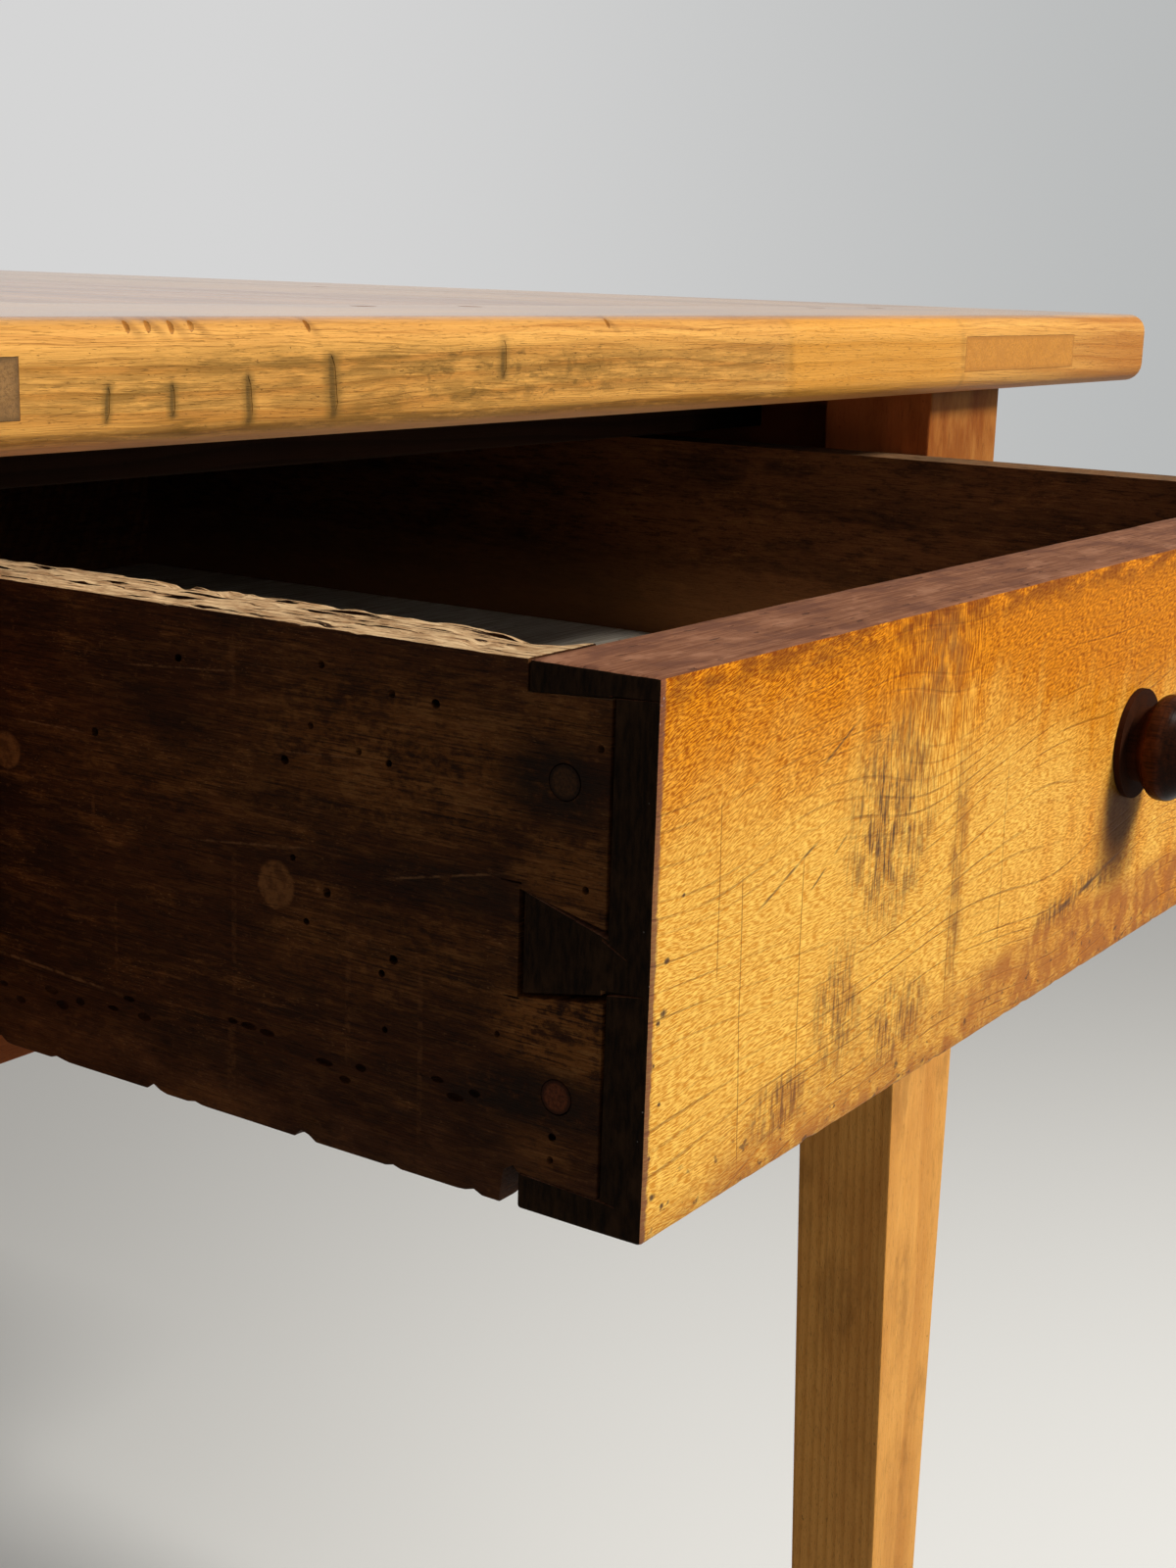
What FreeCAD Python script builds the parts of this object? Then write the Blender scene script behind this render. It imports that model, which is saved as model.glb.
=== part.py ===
import FreeCAD, Part
import math
import os
import re
import Sketcher

# A farmhouse table with one long drawer in its end, shown with the drawer pulled out.
# The frame is millimetres, +Z up from the floor, and the drawer opens towards -Y.

# Driving dimensions. A share of another size is in a table of shares instead.
SIZES = {
    # top: three planks along Y between two cleats
    "topLength": 1800.0,
    "topWidth": 854.0,
    "topThick": 29.0,
    "tableHeight": 760.0,
    "edgeRound": 7.5,
    "cornerRound": 9.0,
    "cleatWidth": 95.0,
    "plankTongue": 8.0,
    "plankTongueThick": 9.0,
    "endTongue": 30.0,
    "endTongueInset": 26.0,
    "tenonThick": 13.0,
    "tenonWidth": 106.0,
    # legs, tapered on their two inner faces
    "endOverhang": 15.0,
    "sideOverhang": 127.5,
    "legWide": 63.5,
    "legDeep": 46.0,
    "footWide": 35.0,
    "footDeep": 39.0,
    "taperDrop": 4.0,
    # rails round the legs
    "apronThick": 25.0,
    "apronSet": 3.0,
    "apronTenon": 32.0,
    "apronTenonThick": 9.0,
    "apronShoulder": 16.0,
    "apronDrop": 25.0,
    "railThick": 16.0,
    "railDeep": 26.0,
    "railSet": 16.0,
    "railTenon": 25.0,
    "railTenonThick": 12.0,
    "railShoulder": 4.0,
    # bearers across the frame, dovetailed into the side aprons
    "bearerBack": 95.0,
    "bearerWide": 60.0,
    "bearerThick": 21.0,
    "bearerHousing": 10.0,
    "bearerFlare": 5.0,
    # what the drawer runs on
    "runnerThick": 22.0,
    "runnerBearing": 18.0,
    "runnerSpare": 40.0,
    "guideHigh": 22.0,
    "stopLong": 30.0,
    "stopHigh": 26.0,
    # drawer
    "drawerOpen": 176.5,
    "drawerDrop": 25.0,
    "drawerHigh": 105.0,
    "drawerDeep": 605.0,
    "frontThick": 28.0,
    "sideThick": 21.5,
    "lapThick": 10.0,
    "backThick": 17.0,
    "backSet": 10.0,
    "backDrop": 8.0,
    "dadoDeep": 6.0,
    "bottomRise": 16.0,
    "bottomThick": 9.0,
    "grooveDeep": 8.0,
    "frontGrooveDeep": 4.5,
    "boardLap": 8.0,
    # knob, turned in one piece with its spigot
    "knobRise": 55.5,
    "knobReach": 20.0,
    "knobRadius": 14.0,
    "knobRim": 7.0,
    "knobFace": 8.0,
    "knobNeck": 10.0,
    "knobNeckLong": 2.5,
    "knobFoot": 14.5,
    "knobFootThick": 1.5,
    "knobSwell": 3.5,
    "knobDome": 6.0,
    "spigotRadius": 6.0,
    # pegs and nails
    "pegRadius": 4.0,
    "jointPegLong": 36.0,
    "topPegDepth": 40.0,
    "drawerPegRadius": 3.25,
    "drawerPegLong": 38.0,
    "drawerPegInset": 8.4,
    "nailRadius": 2.0,
    "nailBite": 14.0,
    # clearances
    "drawerFit": 1.5,
    "runGap": 0.3,
    "jointGap": 0.1,
    "pegGap": 0.05,
    "mortiseSpare": 1.0,
    "overrun": 5.0,
}

# Places worked out from the sizes. The origin is under the middle of the table with its drawer out.
PLACES = {
    "topFront": "(drawerOpen - endOverhang + knobReach - topLength) / 2",
    "topBack": "topFront + topLength",
    "legFront": "topFront + endOverhang",
    "legBack": "topBack - endOverhang",
    "underside": "tableHeight - topThick",
    "drawerTop": "underside - drawerDrop",
    "drawerBase": "drawerTop - drawerHigh",
    "bedTop": "drawerBase - runGap",
    "apronBase": "bedTop - apronDrop",
    "apronHigh": "underside - apronBase",
    "taperStart": "apronBase - taperDrop",
    "baseHalf": "topWidth / 2 - sideOverhang",
    "bayHalf": "baseHalf - legWide",
    "apronOut": "baseHalf - apronSet",
    "apronIn": "apronOut - apronThick",
    "apronLong": "legBack - legFront - 2 * legDeep",
    "bedFront": "legFront + legDeep",
    "closedBack": "legFront + drawerDeep",
    "bedBack": "closedBack + runnerSpare",
    "bearerPitch": "(legBack - legFront - 2 * bearerBack - bearerWide) / 2",
    "plankWidth": "topWidth / 3",
    "plankLong": "topLength - 2 * cleatWidth",
    "drawerFace": "legFront - drawerOpen",
    "drawerHalf": "bayHalf - drawerFit",
    "grooveHalf": "drawerHalf - sideThick + grooveDeep",
    "bottomTop": "bottomRise + bottomThick",
    "backFront": "drawerDeep - backSet - backThick",
    "bottomFront": "frontThick - frontGrooveDeep",
    "boardLong": "(drawerDeep - backSet - bottomFront) / 3",
}

# Each tail's upper and lower edge below the drawer's top, at the shoulder and at the lap.
TAIL_SHARES = (
    ((0.058, 0.046), (0.406, 0.460)),
    ((0.604, 0.570), (0.930, 0.937)),
)
DRAWER_PEG_SHARES = (0.203, 0.769)
TOP_PEG_SHARES = (0.2, 0.4, 0.6, 0.8)
JOINT_PEG_SHARES = (0.3, 0.7)
NAIL_SHARES = (0.1, 0.5, 0.9)
BOTTOM_NAIL_SHARES = (-0.75, -0.25, 0.25, 0.75)
TENON_PEG_SHARES = (-0.25, 0.25)
KNOB_SWELL_SHARES = (0.5, 1.0)

SIDES = {"left": -1, "right": 1}
ENDS = {"front": 1, "back": -1}

doc = FreeCAD.newDocument("farmhouse_table")
sheet = doc.addObject("Spreadsheet::Sheet", "Sizes")
for row, (alias, value) in enumerate(SIZES.items(), start=1):
    sheet.set(f"A{row}", alias)
    sheet.set(f"B{row}", str(value))
    sheet.setAlias(f"B{row}", alias)
doc.recompute()

nodes = []


def full(text):
    """Spell out the places in an expression, and point each size at its cell."""
    def spelled(word):
        if word[0] in PLACES:
            return f"({full(PLACES[word[0]])})"
        return f"Sizes.{word[0]}"
    return re.sub(r"[A-Za-z]\w*", spelled, text)


def bind(item, **expressions):
    for name, text in expressions.items():
        item.setExpression(name.replace("_", "."), full(text))


def place(item, x, y, z):
    bind(item, Placement_Base_x=x, Placement_Base_y=y, Placement_Base_z=z)


def node(item, label):
    """Name a finished piece and keep it for export."""
    item.Label = label
    nodes.append(item)
    return item


def toward(sign, text):
    return f"{sign} * ({text})"


def between(sign, near, far):
    """A span measured one way or the other from a local origin, lower end first."""
    if sign > 0:
        return near, far
    return toward(sign, far), toward(sign, near)


def rect(left, right, low, high):
    return [(left, low), (right, low), (right, high), (left, high)]


def new_body(name, x, y, z):
    body = doc.addObject("PartDesign::Body", name)
    place(body, x, y, z)
    return body


def origin_part(body, role):
    return next(item for item in body.Origin.OriginFeatures if item.Role == role)


def outline(body, plane, points, offset):
    """A closed chain of lines on one of the body's planes, each corner held by the sheet."""
    sketch = body.newObject("Sketcher::SketchObject", body.Name + "_outline")
    sketch.AttachmentSupport = [(origin_part(body, plane + "_Plane"), "")]
    sketch.MapMode = "FlatFace"
    bind(sketch, AttachmentOffset_Base_z=offset)
    count = len(points)
    turns = [math.tau * index / count for index in range(count)]
    ring = [FreeCAD.Vector(math.cos(turn), math.sin(turn), 0) for turn in turns]
    for index in range(count):
        sketch.addGeometry(Part.LineSegment(ring[index], ring[index - count + 1]))
    for index in range(count):
        sketch.addConstraint(Sketcher.Constraint("Coincident", index, 2, (index + 1) % count, 1))
    for index, point in enumerate(points):
        for kind, start, text in zip(("DistanceX", "DistanceY"), ring[index], point):
            held = sketch.addConstraint(Sketcher.Constraint(kind, -1, 1, index, 1, start))
            sketch.setExpression(f"Constraints[{held}]", full(text))
    return sketch


def pad(body, plane, points, start, end):
    """Add an outline's prism between two places along the plane's own axis."""
    flipped = plane == "XZ"
    feature = body.newObject("PartDesign::Pad", body.Name + "_pad")
    feature.Profile = outline(body, plane, points, toward(-1, start) if flipped else start)
    feature.Reversed = flipped
    bind(feature, Length=f"({end}) - ({start})")
    return feature


def pocket(body, plane, points, start, end):
    """Cut an outline's prism between two places along the plane's own axis."""
    feature = body.newObject("PartDesign::Pocket", body.Name + "_pocket")
    feature.Profile = outline(body, plane, points, toward(-1, start) if plane == "XZ" else end)
    bind(feature, Length=f"({end}) - ({start})")
    return feature


def repeat(body, feature, axis, length, count):
    """Repeat a cut evenly along one of the body's axes."""
    pattern = body.newObject("PartDesign::LinearPattern", body.Name + "_pattern")
    pattern.Originals = [feature]
    pattern.Direction = (origin_part(body, axis + "_Axis"), [""])
    bind(pattern, Length=length)
    pattern.Occurrences = count
    body.Tip = pattern
    return pattern


def round_edges(body, chosen, radius):
    """Fillet those edges of the body's last feature that a test picks by their boxes."""
    doc.recompute()
    base = body.Tip
    picked = [f"Edge{n}" for n, edge in enumerate(base.Shape.Edges, start=1) if chosen(edge.BoundBox)]
    fillet = body.newObject("PartDesign::Fillet", body.Name + "_fillet")
    fillet.Base = (base, picked)
    bind(fillet, Radius=radius)
    body.Tip = fillet
    return fillet


def bar(name, x_span, y_span, z_span):
    """A plain squared bar between three pairs of places."""
    box = doc.addObject("Part::Box", name)
    spans = (x_span, y_span, z_span)
    sizes = [f"({end}) - ({start})" for start, end in spans]
    bind(box, Length=sizes[0], Width=sizes[1], Height=sizes[2])
    place(box, *(start for start, _ in spans))
    return box


AXIS_TURNS = {
    "X": FreeCAD.Rotation(FreeCAD.Vector(0, 1, 0), 90),
    "Y": FreeCAD.Rotation(FreeCAD.Vector(1, 0, 0), -90),
    "Z": FreeCAD.Rotation(),
}


def rod(name, axis, x, y, z, radius, length):
    """A round rod from a point along one axis."""
    cylinder = doc.addObject("Part::Cylinder", name)
    cylinder.Placement = FreeCAD.Placement(FreeCAD.Vector(), AXIS_TURNS[axis])
    bind(cylinder, Radius=radius, Height=length)
    place(cylinder, x, y, z)
    return cylinder


def group(name, items):
    compound = doc.addObject("Part::Compound", name)
    compound.Links = items
    return compound


def rods(name, rows, radius):
    """A group of like rods, and a second group of the holes that take them."""
    solids = [rod(name + "_rod", *row[:4], radius, row[4]) for row in rows]
    holes = [rod(name + "_hole", *row[:4], f"{radius} + pegGap", row[4]) for row in rows]
    return group(name, solids), group(name + "_holes", holes)


def drilled(base, *holes):
    """Take one or more groups of holes out of a piece."""
    for hole in holes:
        cut = doc.addObject("Part::Cut", base.Name + "_drilled")
        cut.Base = base
        cut.Tool = hole
        base = cut
    return base


def mirrored_rod(sign, axis, reach, y, z, length):
    """A rod driven inwards along X from a face at the given reach from the middle."""
    start = toward(sign, f"{reach} - ({length})" if sign > 0 else reach)
    return (axis, start, y, z, length)


# Pegs first, because their holes are cut from the pieces they pass through.
plank_middles = [toward(step, "plankWidth") for step in (-1, 0, 1)]
cleat_peg_rows = []
for peg_y in ("topFront + cleatWidth - endTongue / 2", "topBack - cleatWidth + endTongue / 2"):
    for middle in plank_middles:
        for share in TENON_PEG_SHARES:
            peg_x = f"{middle} + {share} * tenonWidth"
            cleat_peg_rows.append(("Z", peg_x, peg_y, "underside", "topThick"))
cleat_pegs, cleat_holes = rods("cleat_pegs", cleat_peg_rows, "pegRadius")
node(cleat_pegs, "cleat_pegs")

top_peg_rows = []
for sign in SIDES.values():
    for share in TOP_PEG_SHARES:
        peg_x = toward(sign, "apronOut - apronThick / 2")
        peg_y = f"legFront + {share} * (legBack - legFront)"
        top_peg_rows.append(("Z", peg_x, peg_y, "underside - topPegDepth", "topPegDepth + topThick"))
top_pegs, top_holes = rods("top_pegs", top_peg_rows, "pegRadius")
node(top_pegs, "top_pegs")

joint_peg_rows = []
for sign in SIDES.values():
    for share in JOINT_PEG_SHARES:
        peg_z = f"apronBase + {share} * apronHigh"
        for peg_y in ("legFront + legDeep - apronTenon / 2", "legBack - legDeep + apronTenon / 2"):
            joint_peg_rows.append(mirrored_rod(sign, "X", "baseHalf", peg_y, peg_z, "jointPegLong"))
        tenon_x = toward(sign, "bayHalf + apronTenon / 2")
        joint_peg_rows.append(("Y", tenon_x, "legBack - jointPegLong", peg_z, "jointPegLong"))
    rail_x = toward(sign, "bayHalf + railTenon / 2")
    joint_peg_rows.append(("Y", rail_x, "legFront", "bedTop - railThick / 2", "jointPegLong"))
joint_pegs, joint_holes = rods("joint_pegs", joint_peg_rows, "pegRadius")
node(joint_pegs, "joint_pegs")

runner_in = "drawerHalf - runnerBearing"
nail_long = f"apronIn - ({runner_in}) + nailBite"
runner_nail_rows = []
for sign in SIDES.values():
    for share in NAIL_SHARES:
        nail_y = f"bedFront + {share} * (bedBack - bedFront)"
        nail_z = "bedTop - runnerThick / 2"
        row = mirrored_rod(sign, "X", "apronIn + nailBite", nail_y, nail_z, nail_long)
        runner_nail_rows.append(row)
runner_nails, runner_nail_holes = rods("runner_nails", runner_nail_rows, "nailRadius")
node(runner_nails, "runner_nails")

drawer_peg_rows = []
for sign in SIDES.values():
    for share in DRAWER_PEG_SHARES:
        peg_y = "drawerFace + frontThick - drawerPegInset"
        peg_z = f"drawerTop - {share} * drawerHigh"
        drawer_peg_rows.append(mirrored_rod(sign, "X", "drawerHalf", peg_y, peg_z, "drawerPegLong"))
drawer_pegs, drawer_peg_holes = rods("drawer_pegs", drawer_peg_rows, "drawerPegRadius")
node(drawer_pegs, "drawer_pegs")

bottom_nail_rows = []
for share in BOTTOM_NAIL_SHARES:
    nail_x = toward(share, "drawerHalf - sideThick")
    nail_y = "drawerFace + backFront + backThick / 2"
    bottom_nail_rows.append(("Z", nail_x, nail_y, "drawerBase + bottomRise", "bottomThick + nailBite"))
bottom_nails, bottom_nail_holes = rods("bottom_nails", bottom_nail_rows, "nailRadius")
node(bottom_nails, "bottom_nails")


def plank_edge(side, tongue, high):
    """One long edge of a plank from its lower to its upper corner: plain, grooved or tongued."""
    face = "plankWidth / 2"
    corners = [(face, "0"), (face, "topThick")]
    if tongue:
        tip = f"{face} + plankTongue" if tongue > 0 else f"{face} - plankTongue - jointGap"
        low = f"(topThick - ({high})) / 2"
        upper = f"(topThick + ({high})) / 2"
        corners[1:1] = [(face, low), (tip, low), (tip, upper), (face, upper)]
    return [(toward(side, across), up) for across, up in corners]


def plank(label, middle, left_edge, right_edge):
    """A plank whose ends have a tongue for the cleat, and through tenons on the outer planks."""
    body = new_body(label + "_blank", middle, "topFront + cleatWidth", "underside")
    tongue_high = "plankTongueThick"
    groove_high = "plankTongueThick + 2 * jointGap"
    left = plank_edge(-1, left_edge, tongue_high if left_edge > 0 else groove_high)
    right = plank_edge(1, right_edge, tongue_high if right_edge > 0 else groove_high)
    pad(body, "XZ", left + right[::-1], "0", "plankLong")
    low = "(topThick - tenonThick) / 2"
    high = "(topThick + tenonThick) / 2"
    half = "plankWidth / 2 - endTongueInset"
    tongue = rect(toward(-1, half), half, low, high)
    pad(body, "XZ", tongue, "0 - endTongue", "plankLong + endTongue")
    outer = [side for side, edge in ((-1, left_edge), (1, right_edge)) if edge == 0]
    for side in outer:
        tenon = rect("0 - tenonWidth / 2", "tenonWidth / 2", low, high)
        pad(body, "XZ", tenon, "0 - cleatWidth", "plankLong + cleatWidth")
        doc.recompute()
        face_x = side * body.Tip.Shape.BoundBox.XLength / 2
        close = sheet.jointGap
        round_edges(body, lambda box: abs(box.Center.x - face_x) + box.XLength < close, "edgeRound")
    return node(drilled(body, cleat_holes, top_holes) if outer else drilled(body, cleat_holes), label)


plank("top_plank_left", plank_middles[0], 0, -1)
plank("top_plank_middle", plank_middles[1], 1, 1)
plank("top_plank_right", plank_middles[2], -1, 0)


def cleat(end, inward):
    """A cleat across the plank ends: grooved for their tongues and mortised for the outer tenons."""
    body = new_body(f"cleat_{end}_blank", "0", "topFront" if inward > 0 else "topBack", "underside")
    half = "topWidth / 2"
    pad(body, "XY", rect(toward(-1, half), half, "0", toward(inward, "cleatWidth")), "0", "topThick")
    low = "(topThick - tenonThick) / 2 - jointGap"
    high = "(topThick + tenonThick) / 2 + jointGap"
    groove_half = "(plankWidth / 2 - endTongueInset + jointGap)"
    groove = rect(f"0 - plankWidth - {groove_half}", f"{groove_half} - plankWidth", low, high)
    groove_span = between(inward, "cleatWidth - endTongue - mortiseSpare", "cleatWidth + overrun")
    grooves = pocket(body, "XZ", groove, *groove_span)
    repeat(body, grooves, "X", "2 * plankWidth", len(plank_middles))
    tenon_half = "(tenonWidth / 2 + jointGap)"
    mortise = rect(f"0 - plankWidth - {tenon_half}", f"{tenon_half} - plankWidth", low, high)
    mortises = pocket(body, "XZ", mortise, *between(inward, "0 - overrun", "cleatWidth"))
    repeat(body, mortises, "X", "2 * plankWidth", len(SIDES))
    close = sheet.jointGap
    round_edges(body, lambda box: box.ZLength > close and box.XLength + box.YLength < close
                and abs(abs(box.Center.x) - sheet.topWidth / 2) < close
                and abs(box.Center.y) < close, "cornerRound")
    shoulder = inward * sheet.cleatWidth
    levels = (0, sheet.topThick)
    round_edges(body, lambda box: box.ZLength < close and min(abs(box.ZMin - z) for z in levels) < close
                and abs(box.Center.y - shoulder) > close, "edgeRound")
    return node(drilled(body, cleat_holes), f"cleat_{end}")


for end, inward in ENDS.items():
    cleat(end, inward)


def leg(end, side):
    """A leg measured inwards from its outer corner, with its taper sawn from both inner faces."""
    in_x = -SIDES[side]
    in_y = ENDS[end]
    corner_y = "legFront" if in_y > 0 else "legBack"
    body = new_body(f"leg_{end}_{side}_blank", toward(-in_x, "baseHalf"), corner_y, "0")
    face = [("0", "0"), (toward(in_x, "footWide"), "0"), (toward(in_x, "legWide"), "taperStart"),
            (toward(in_x, "legWide"), "underside"), ("0", "underside")]
    pad(body, "XZ", face, *between(in_y, "0", "legDeep"))
    past = toward(in_y, "legDeep + overrun")
    foot = toward(in_y, "footDeep")
    waste = [(foot, "0"), (toward(in_y, "legDeep"), "taperStart"), (past, "taperStart"),
             (past, "0 - overrun"), (foot, "0 - overrun")]
    pocket(body, "YZ", waste, *between(in_x, "0 - overrun", "legWide + overrun"))
    cheek = "apronSet + (apronThick - apronTenonThick) / 2"
    low = "apronBase + apronShoulder - jointGap"
    high = "underside - apronShoulder + jointGap"
    across = between(in_x, f"{cheek} - jointGap", f"{cheek} + apronTenonThick + jointGap")
    pocket(body, "XZ", rect(*across, low, high),
           *between(in_y, "legDeep - apronTenon - mortiseSpare", "legDeep + overrun"))
    if end == "back":
        across = between(in_y, f"{cheek} - jointGap", f"{cheek} + apronTenonThick + jointGap")
        depth = "apronTenon"
    else:
        across = between(in_y, "railSet + railShoulder - jointGap",
                         "railSet + railDeep - railShoulder + jointGap")
        low = "bedTop - (railThick + railTenonThick) / 2 - jointGap"
        high = "bedTop - (railThick - railTenonThick) / 2 + jointGap"
        depth = "railTenon"
    pocket(body, "YZ", rect(*across, low, high),
           *between(in_x, f"legWide - {depth} - mortiseSpare", "legWide + overrun"))
    return node(drilled(body, joint_holes), f"leg_{end}_{side}")


for end in ENDS:
    for side in SIDES:
        leg(end, side)


def side_apron(side):
    """A side apron with a tenon at each end and three dovetailed housings in its upper edge."""
    in_x = -SIDES[side]
    body = new_body(f"apron_{side}_blank", toward(-in_x, "apronOut"), "bedFront", "apronBase")
    pad(body, "YZ", rect("0", "apronLong", "0", "apronHigh"), *between(in_x, "0", "apronThick"))
    cheek = "(apronThick - apronTenonThick) / 2"
    tenons = rect("0 - apronTenon", "apronLong + apronTenon", "apronShoulder", "apronHigh - apronShoulder")
    pad(body, "YZ", tenons, *between(in_x, cheek, f"{cheek} + apronTenonThick"))
    first = "(bearerBack - legDeep)"
    root = toward(in_x, "apronThick - bearerHousing")
    inner = toward(in_x, "apronThick")
    past = toward(in_x, "apronThick + overrun")
    neck = (f"{first} + bearerFlare", f"{first} + bearerWide - bearerFlare")
    housing = [(root, first), (inner, neck[0]), (past, neck[0]), (past, neck[1]), (inner, neck[1]),
               (root, f"{first} + bearerWide")]
    first_housing = pocket(body, "XY", housing, "apronHigh - bearerThick", "apronHigh + overrun")
    repeat(body, first_housing, "Y", "2 * bearerPitch", len(bearer_names))
    return node(drilled(body, joint_holes, top_holes, runner_nail_holes), f"apron_{side}")


bearer_names = ("front", "middle", "back")
for side in SIDES:
    side_apron(side)


def end_board(label, y, z, x_reach, z_span, y_span, tenon, tenon_z, tenon_y):
    """A board between a pair of legs, with one tenon right through its length."""
    body = new_body(label + "_blank", "0", y, z)
    pad(body, "XZ", rect(toward(-1, x_reach), x_reach, *z_span), *y_span)
    long = f"{x_reach} + {tenon}"
    pad(body, "XZ", rect(toward(-1, long), long, *tenon_z), *tenon_y)
    return node(drilled(body, joint_holes), label)


apron_cheek = "(apronThick - apronTenonThick) / 2"
end_board("apron_back", "legBack - apronSet - apronThick", "apronBase", "bayHalf",
          ("0", "apronHigh"), ("0", "apronThick"),
          "apronTenon", ("apronShoulder", "apronHigh - apronShoulder"),
          (apron_cheek, f"{apron_cheek} + apronTenonThick"))
rail_cheek = "(railThick - railTenonThick) / 2"
end_board("drawer_rail", "legFront + railSet", "bedTop - railThick", "bayHalf",
          ("0", "railThick"), ("0", "railDeep"),
          "railTenon", (rail_cheek, f"{rail_cheek} + railTenonThick"),
          ("railShoulder", "railDeep - railShoulder"))


def bearer(label, step):
    """A bearer under the top, dovetailed into both side aprons; the first also holds the drawer down."""
    y = f"legFront + bearerBack + {step} * bearerPitch"
    body = new_body(label, "0", y, "underside - bearerThick")
    tip = "apronIn + bearerHousing"
    right = [("apronIn", "0"), ("apronIn", "bearerFlare"), (tip, "0"), (tip, "bearerWide"),
             ("apronIn", "bearerWide - bearerFlare"), ("apronIn", "bearerWide")]
    left = [(toward(-1, across), along) for across, along in reversed(right)]
    pad(body, "XY", right + left, "0", "bearerThick")
    return node(body, label)


for step, name in enumerate(bearer_names):
    bearer(f"bearer_{name}", step)

# Runners carry the drawer's lower edges, guides keep it straight, and stops end its travel.
for side, sign in SIDES.items():
    runner = bar(f"runner_{side}_blank", between(sign, runner_in, "apronIn"), ("bedFront", "bedBack"),
                 ("bedTop - runnerThick", "bedTop"))
    node(drilled(runner, runner_nail_holes), f"runner_{side}")
    guide = bar(f"guide_{side}", between(sign, "bayHalf", "apronIn"), ("bedFront", "bedBack"),
                ("bedTop", "bedTop + guideHigh"))
    node(guide, f"guide_{side}")
    stop = bar(f"stop_{side}", between(sign, runner_in, "bayHalf"), ("closedBack", "closedBack + stopLong"),
               ("bedTop", "bedTop + stopHigh"))
    node(stop, f"stop_{side}")


def below_top(share):
    return f"(drawerHigh - {share} * drawerHigh)"


def drawer_side(side):
    """A drawer side with two tails cut on its front end, grooved for the bottom, housed for the back."""
    in_x = -SIDES[side]
    body = new_body(f"drawer_side_{side}_blank", toward(-in_x, "drawerHalf"), "drawerFace", "drawerBase")
    board = [("frontThick", "drawerHigh")]
    for (head, head_lap), (foot, foot_lap) in TAIL_SHARES:
        board += [("frontThick", below_top(head)), ("lapThick", below_top(head_lap)),
                  ("lapThick", below_top(foot_lap)), ("frontThick", below_top(foot))]
    board += [("frontThick", "0"), ("drawerDeep", "0"), ("drawerDeep", "drawerHigh")]
    pad(body, "YZ", board, *between(in_x, "0", "sideThick"))
    groove = rect("bottomFront - jointGap", "drawerDeep + overrun", "bottomRise", "bottomTop + jointGap")
    pocket(body, "YZ", groove, *between(in_x, "sideThick - grooveDeep - jointGap", "sideThick + overrun"))
    dado = rect("backFront", "backFront + backThick", "bottomTop", "drawerHigh - backDrop")
    pocket(body, "YZ", dado, *between(in_x, "sideThick - dadoDeep", "sideThick + overrun"))
    return node(drilled(body, drawer_peg_holes), f"drawer_side_{side}")


for side in SIDES:
    drawer_side(side)

front = new_body("drawer_front_blank", "0", "drawerFace", "drawerBase")
pad(front, "XZ", rect("0 - drawerHalf", "drawerHalf", "0", "drawerHigh"), "0", "frontThick")
for sign in SIDES.values():
    for (head, head_lap), (foot, foot_lap) in TAIL_SHARES:
        heads = [f"{below_top(share)} + jointGap" for share in (head, head_lap)]
        feet = [f"{below_top(share)} - jointGap" for share in (foot, foot_lap)]
        deep = "lapThick - jointGap"
        past = "frontThick + overrun"
        socket = [(past, heads[0]), ("frontThick", heads[0]), (deep, heads[1]), (deep, feet[1]),
                  ("frontThick", feet[0]), (past, feet[0])]
        socket_span = between(sign, "drawerHalf - sideThick - jointGap", "drawerHalf + overrun")
        pocket(front, "YZ", socket, *socket_span)
front_groove = rect("0 - grooveHalf - jointGap", "grooveHalf + jointGap",
                    "bottomRise", "bottomTop + jointGap")
pocket(front, "XZ", front_groove, "bottomFront - jointGap", "frontThick + overrun")
knob_hole = rod("knob_hole", "Y", "0", "drawerFace - overrun", "drawerBase + knobRise",
                "spigotRadius + pegGap", "frontThick + 2 * overrun")
node(drilled(front, drawer_peg_holes, knob_hole), "drawer_front")

back = bar("drawer_back_blank",
           ("0 - drawerHalf + sideThick - dadoDeep", "drawerHalf - sideThick + dadoDeep"),
           ("drawerFace + backFront", "drawerFace + backFront + backThick"),
           ("drawerBase + bottomTop", "drawerTop - backDrop"))
node(drilled(back, bottom_nail_holes), "drawer_back")


def bottom_board(label, step, laps_front, laps_back):
    """A bottom board across the drawer, half-lapped over its neighbours and held in the grooves."""
    board_front = f"drawerFace + bottomFront + {step} * boardLong"
    body = new_body(label + "_blank", "0", board_front, "drawerBase + bottomRise")
    lower_front = "boardLap" if laps_front else "0"
    lower_back = "boardLong + boardLap" if laps_back else "boardLong"
    middle = "bottomThick / 2"
    section = [(lower_front, "0"), (lower_back, "0")]
    if laps_back:
        section += [(lower_back, middle), ("boardLong", middle)]
    section += [("boardLong", "bottomThick"), ("0", "bottomThick")]
    if laps_front:
        section += [("0", middle), (lower_front, middle)]
    pad(body, "YZ", section, "0 - grooveHalf", "grooveHalf")
    return node(body if laps_back else drilled(body, bottom_nail_holes), label)


bottom_board("drawer_bottom_front", 0, False, True)
bottom_board("drawer_bottom_middle", 1, True, True)
bottom_board("drawer_bottom_rear", 2, True, False)

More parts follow.
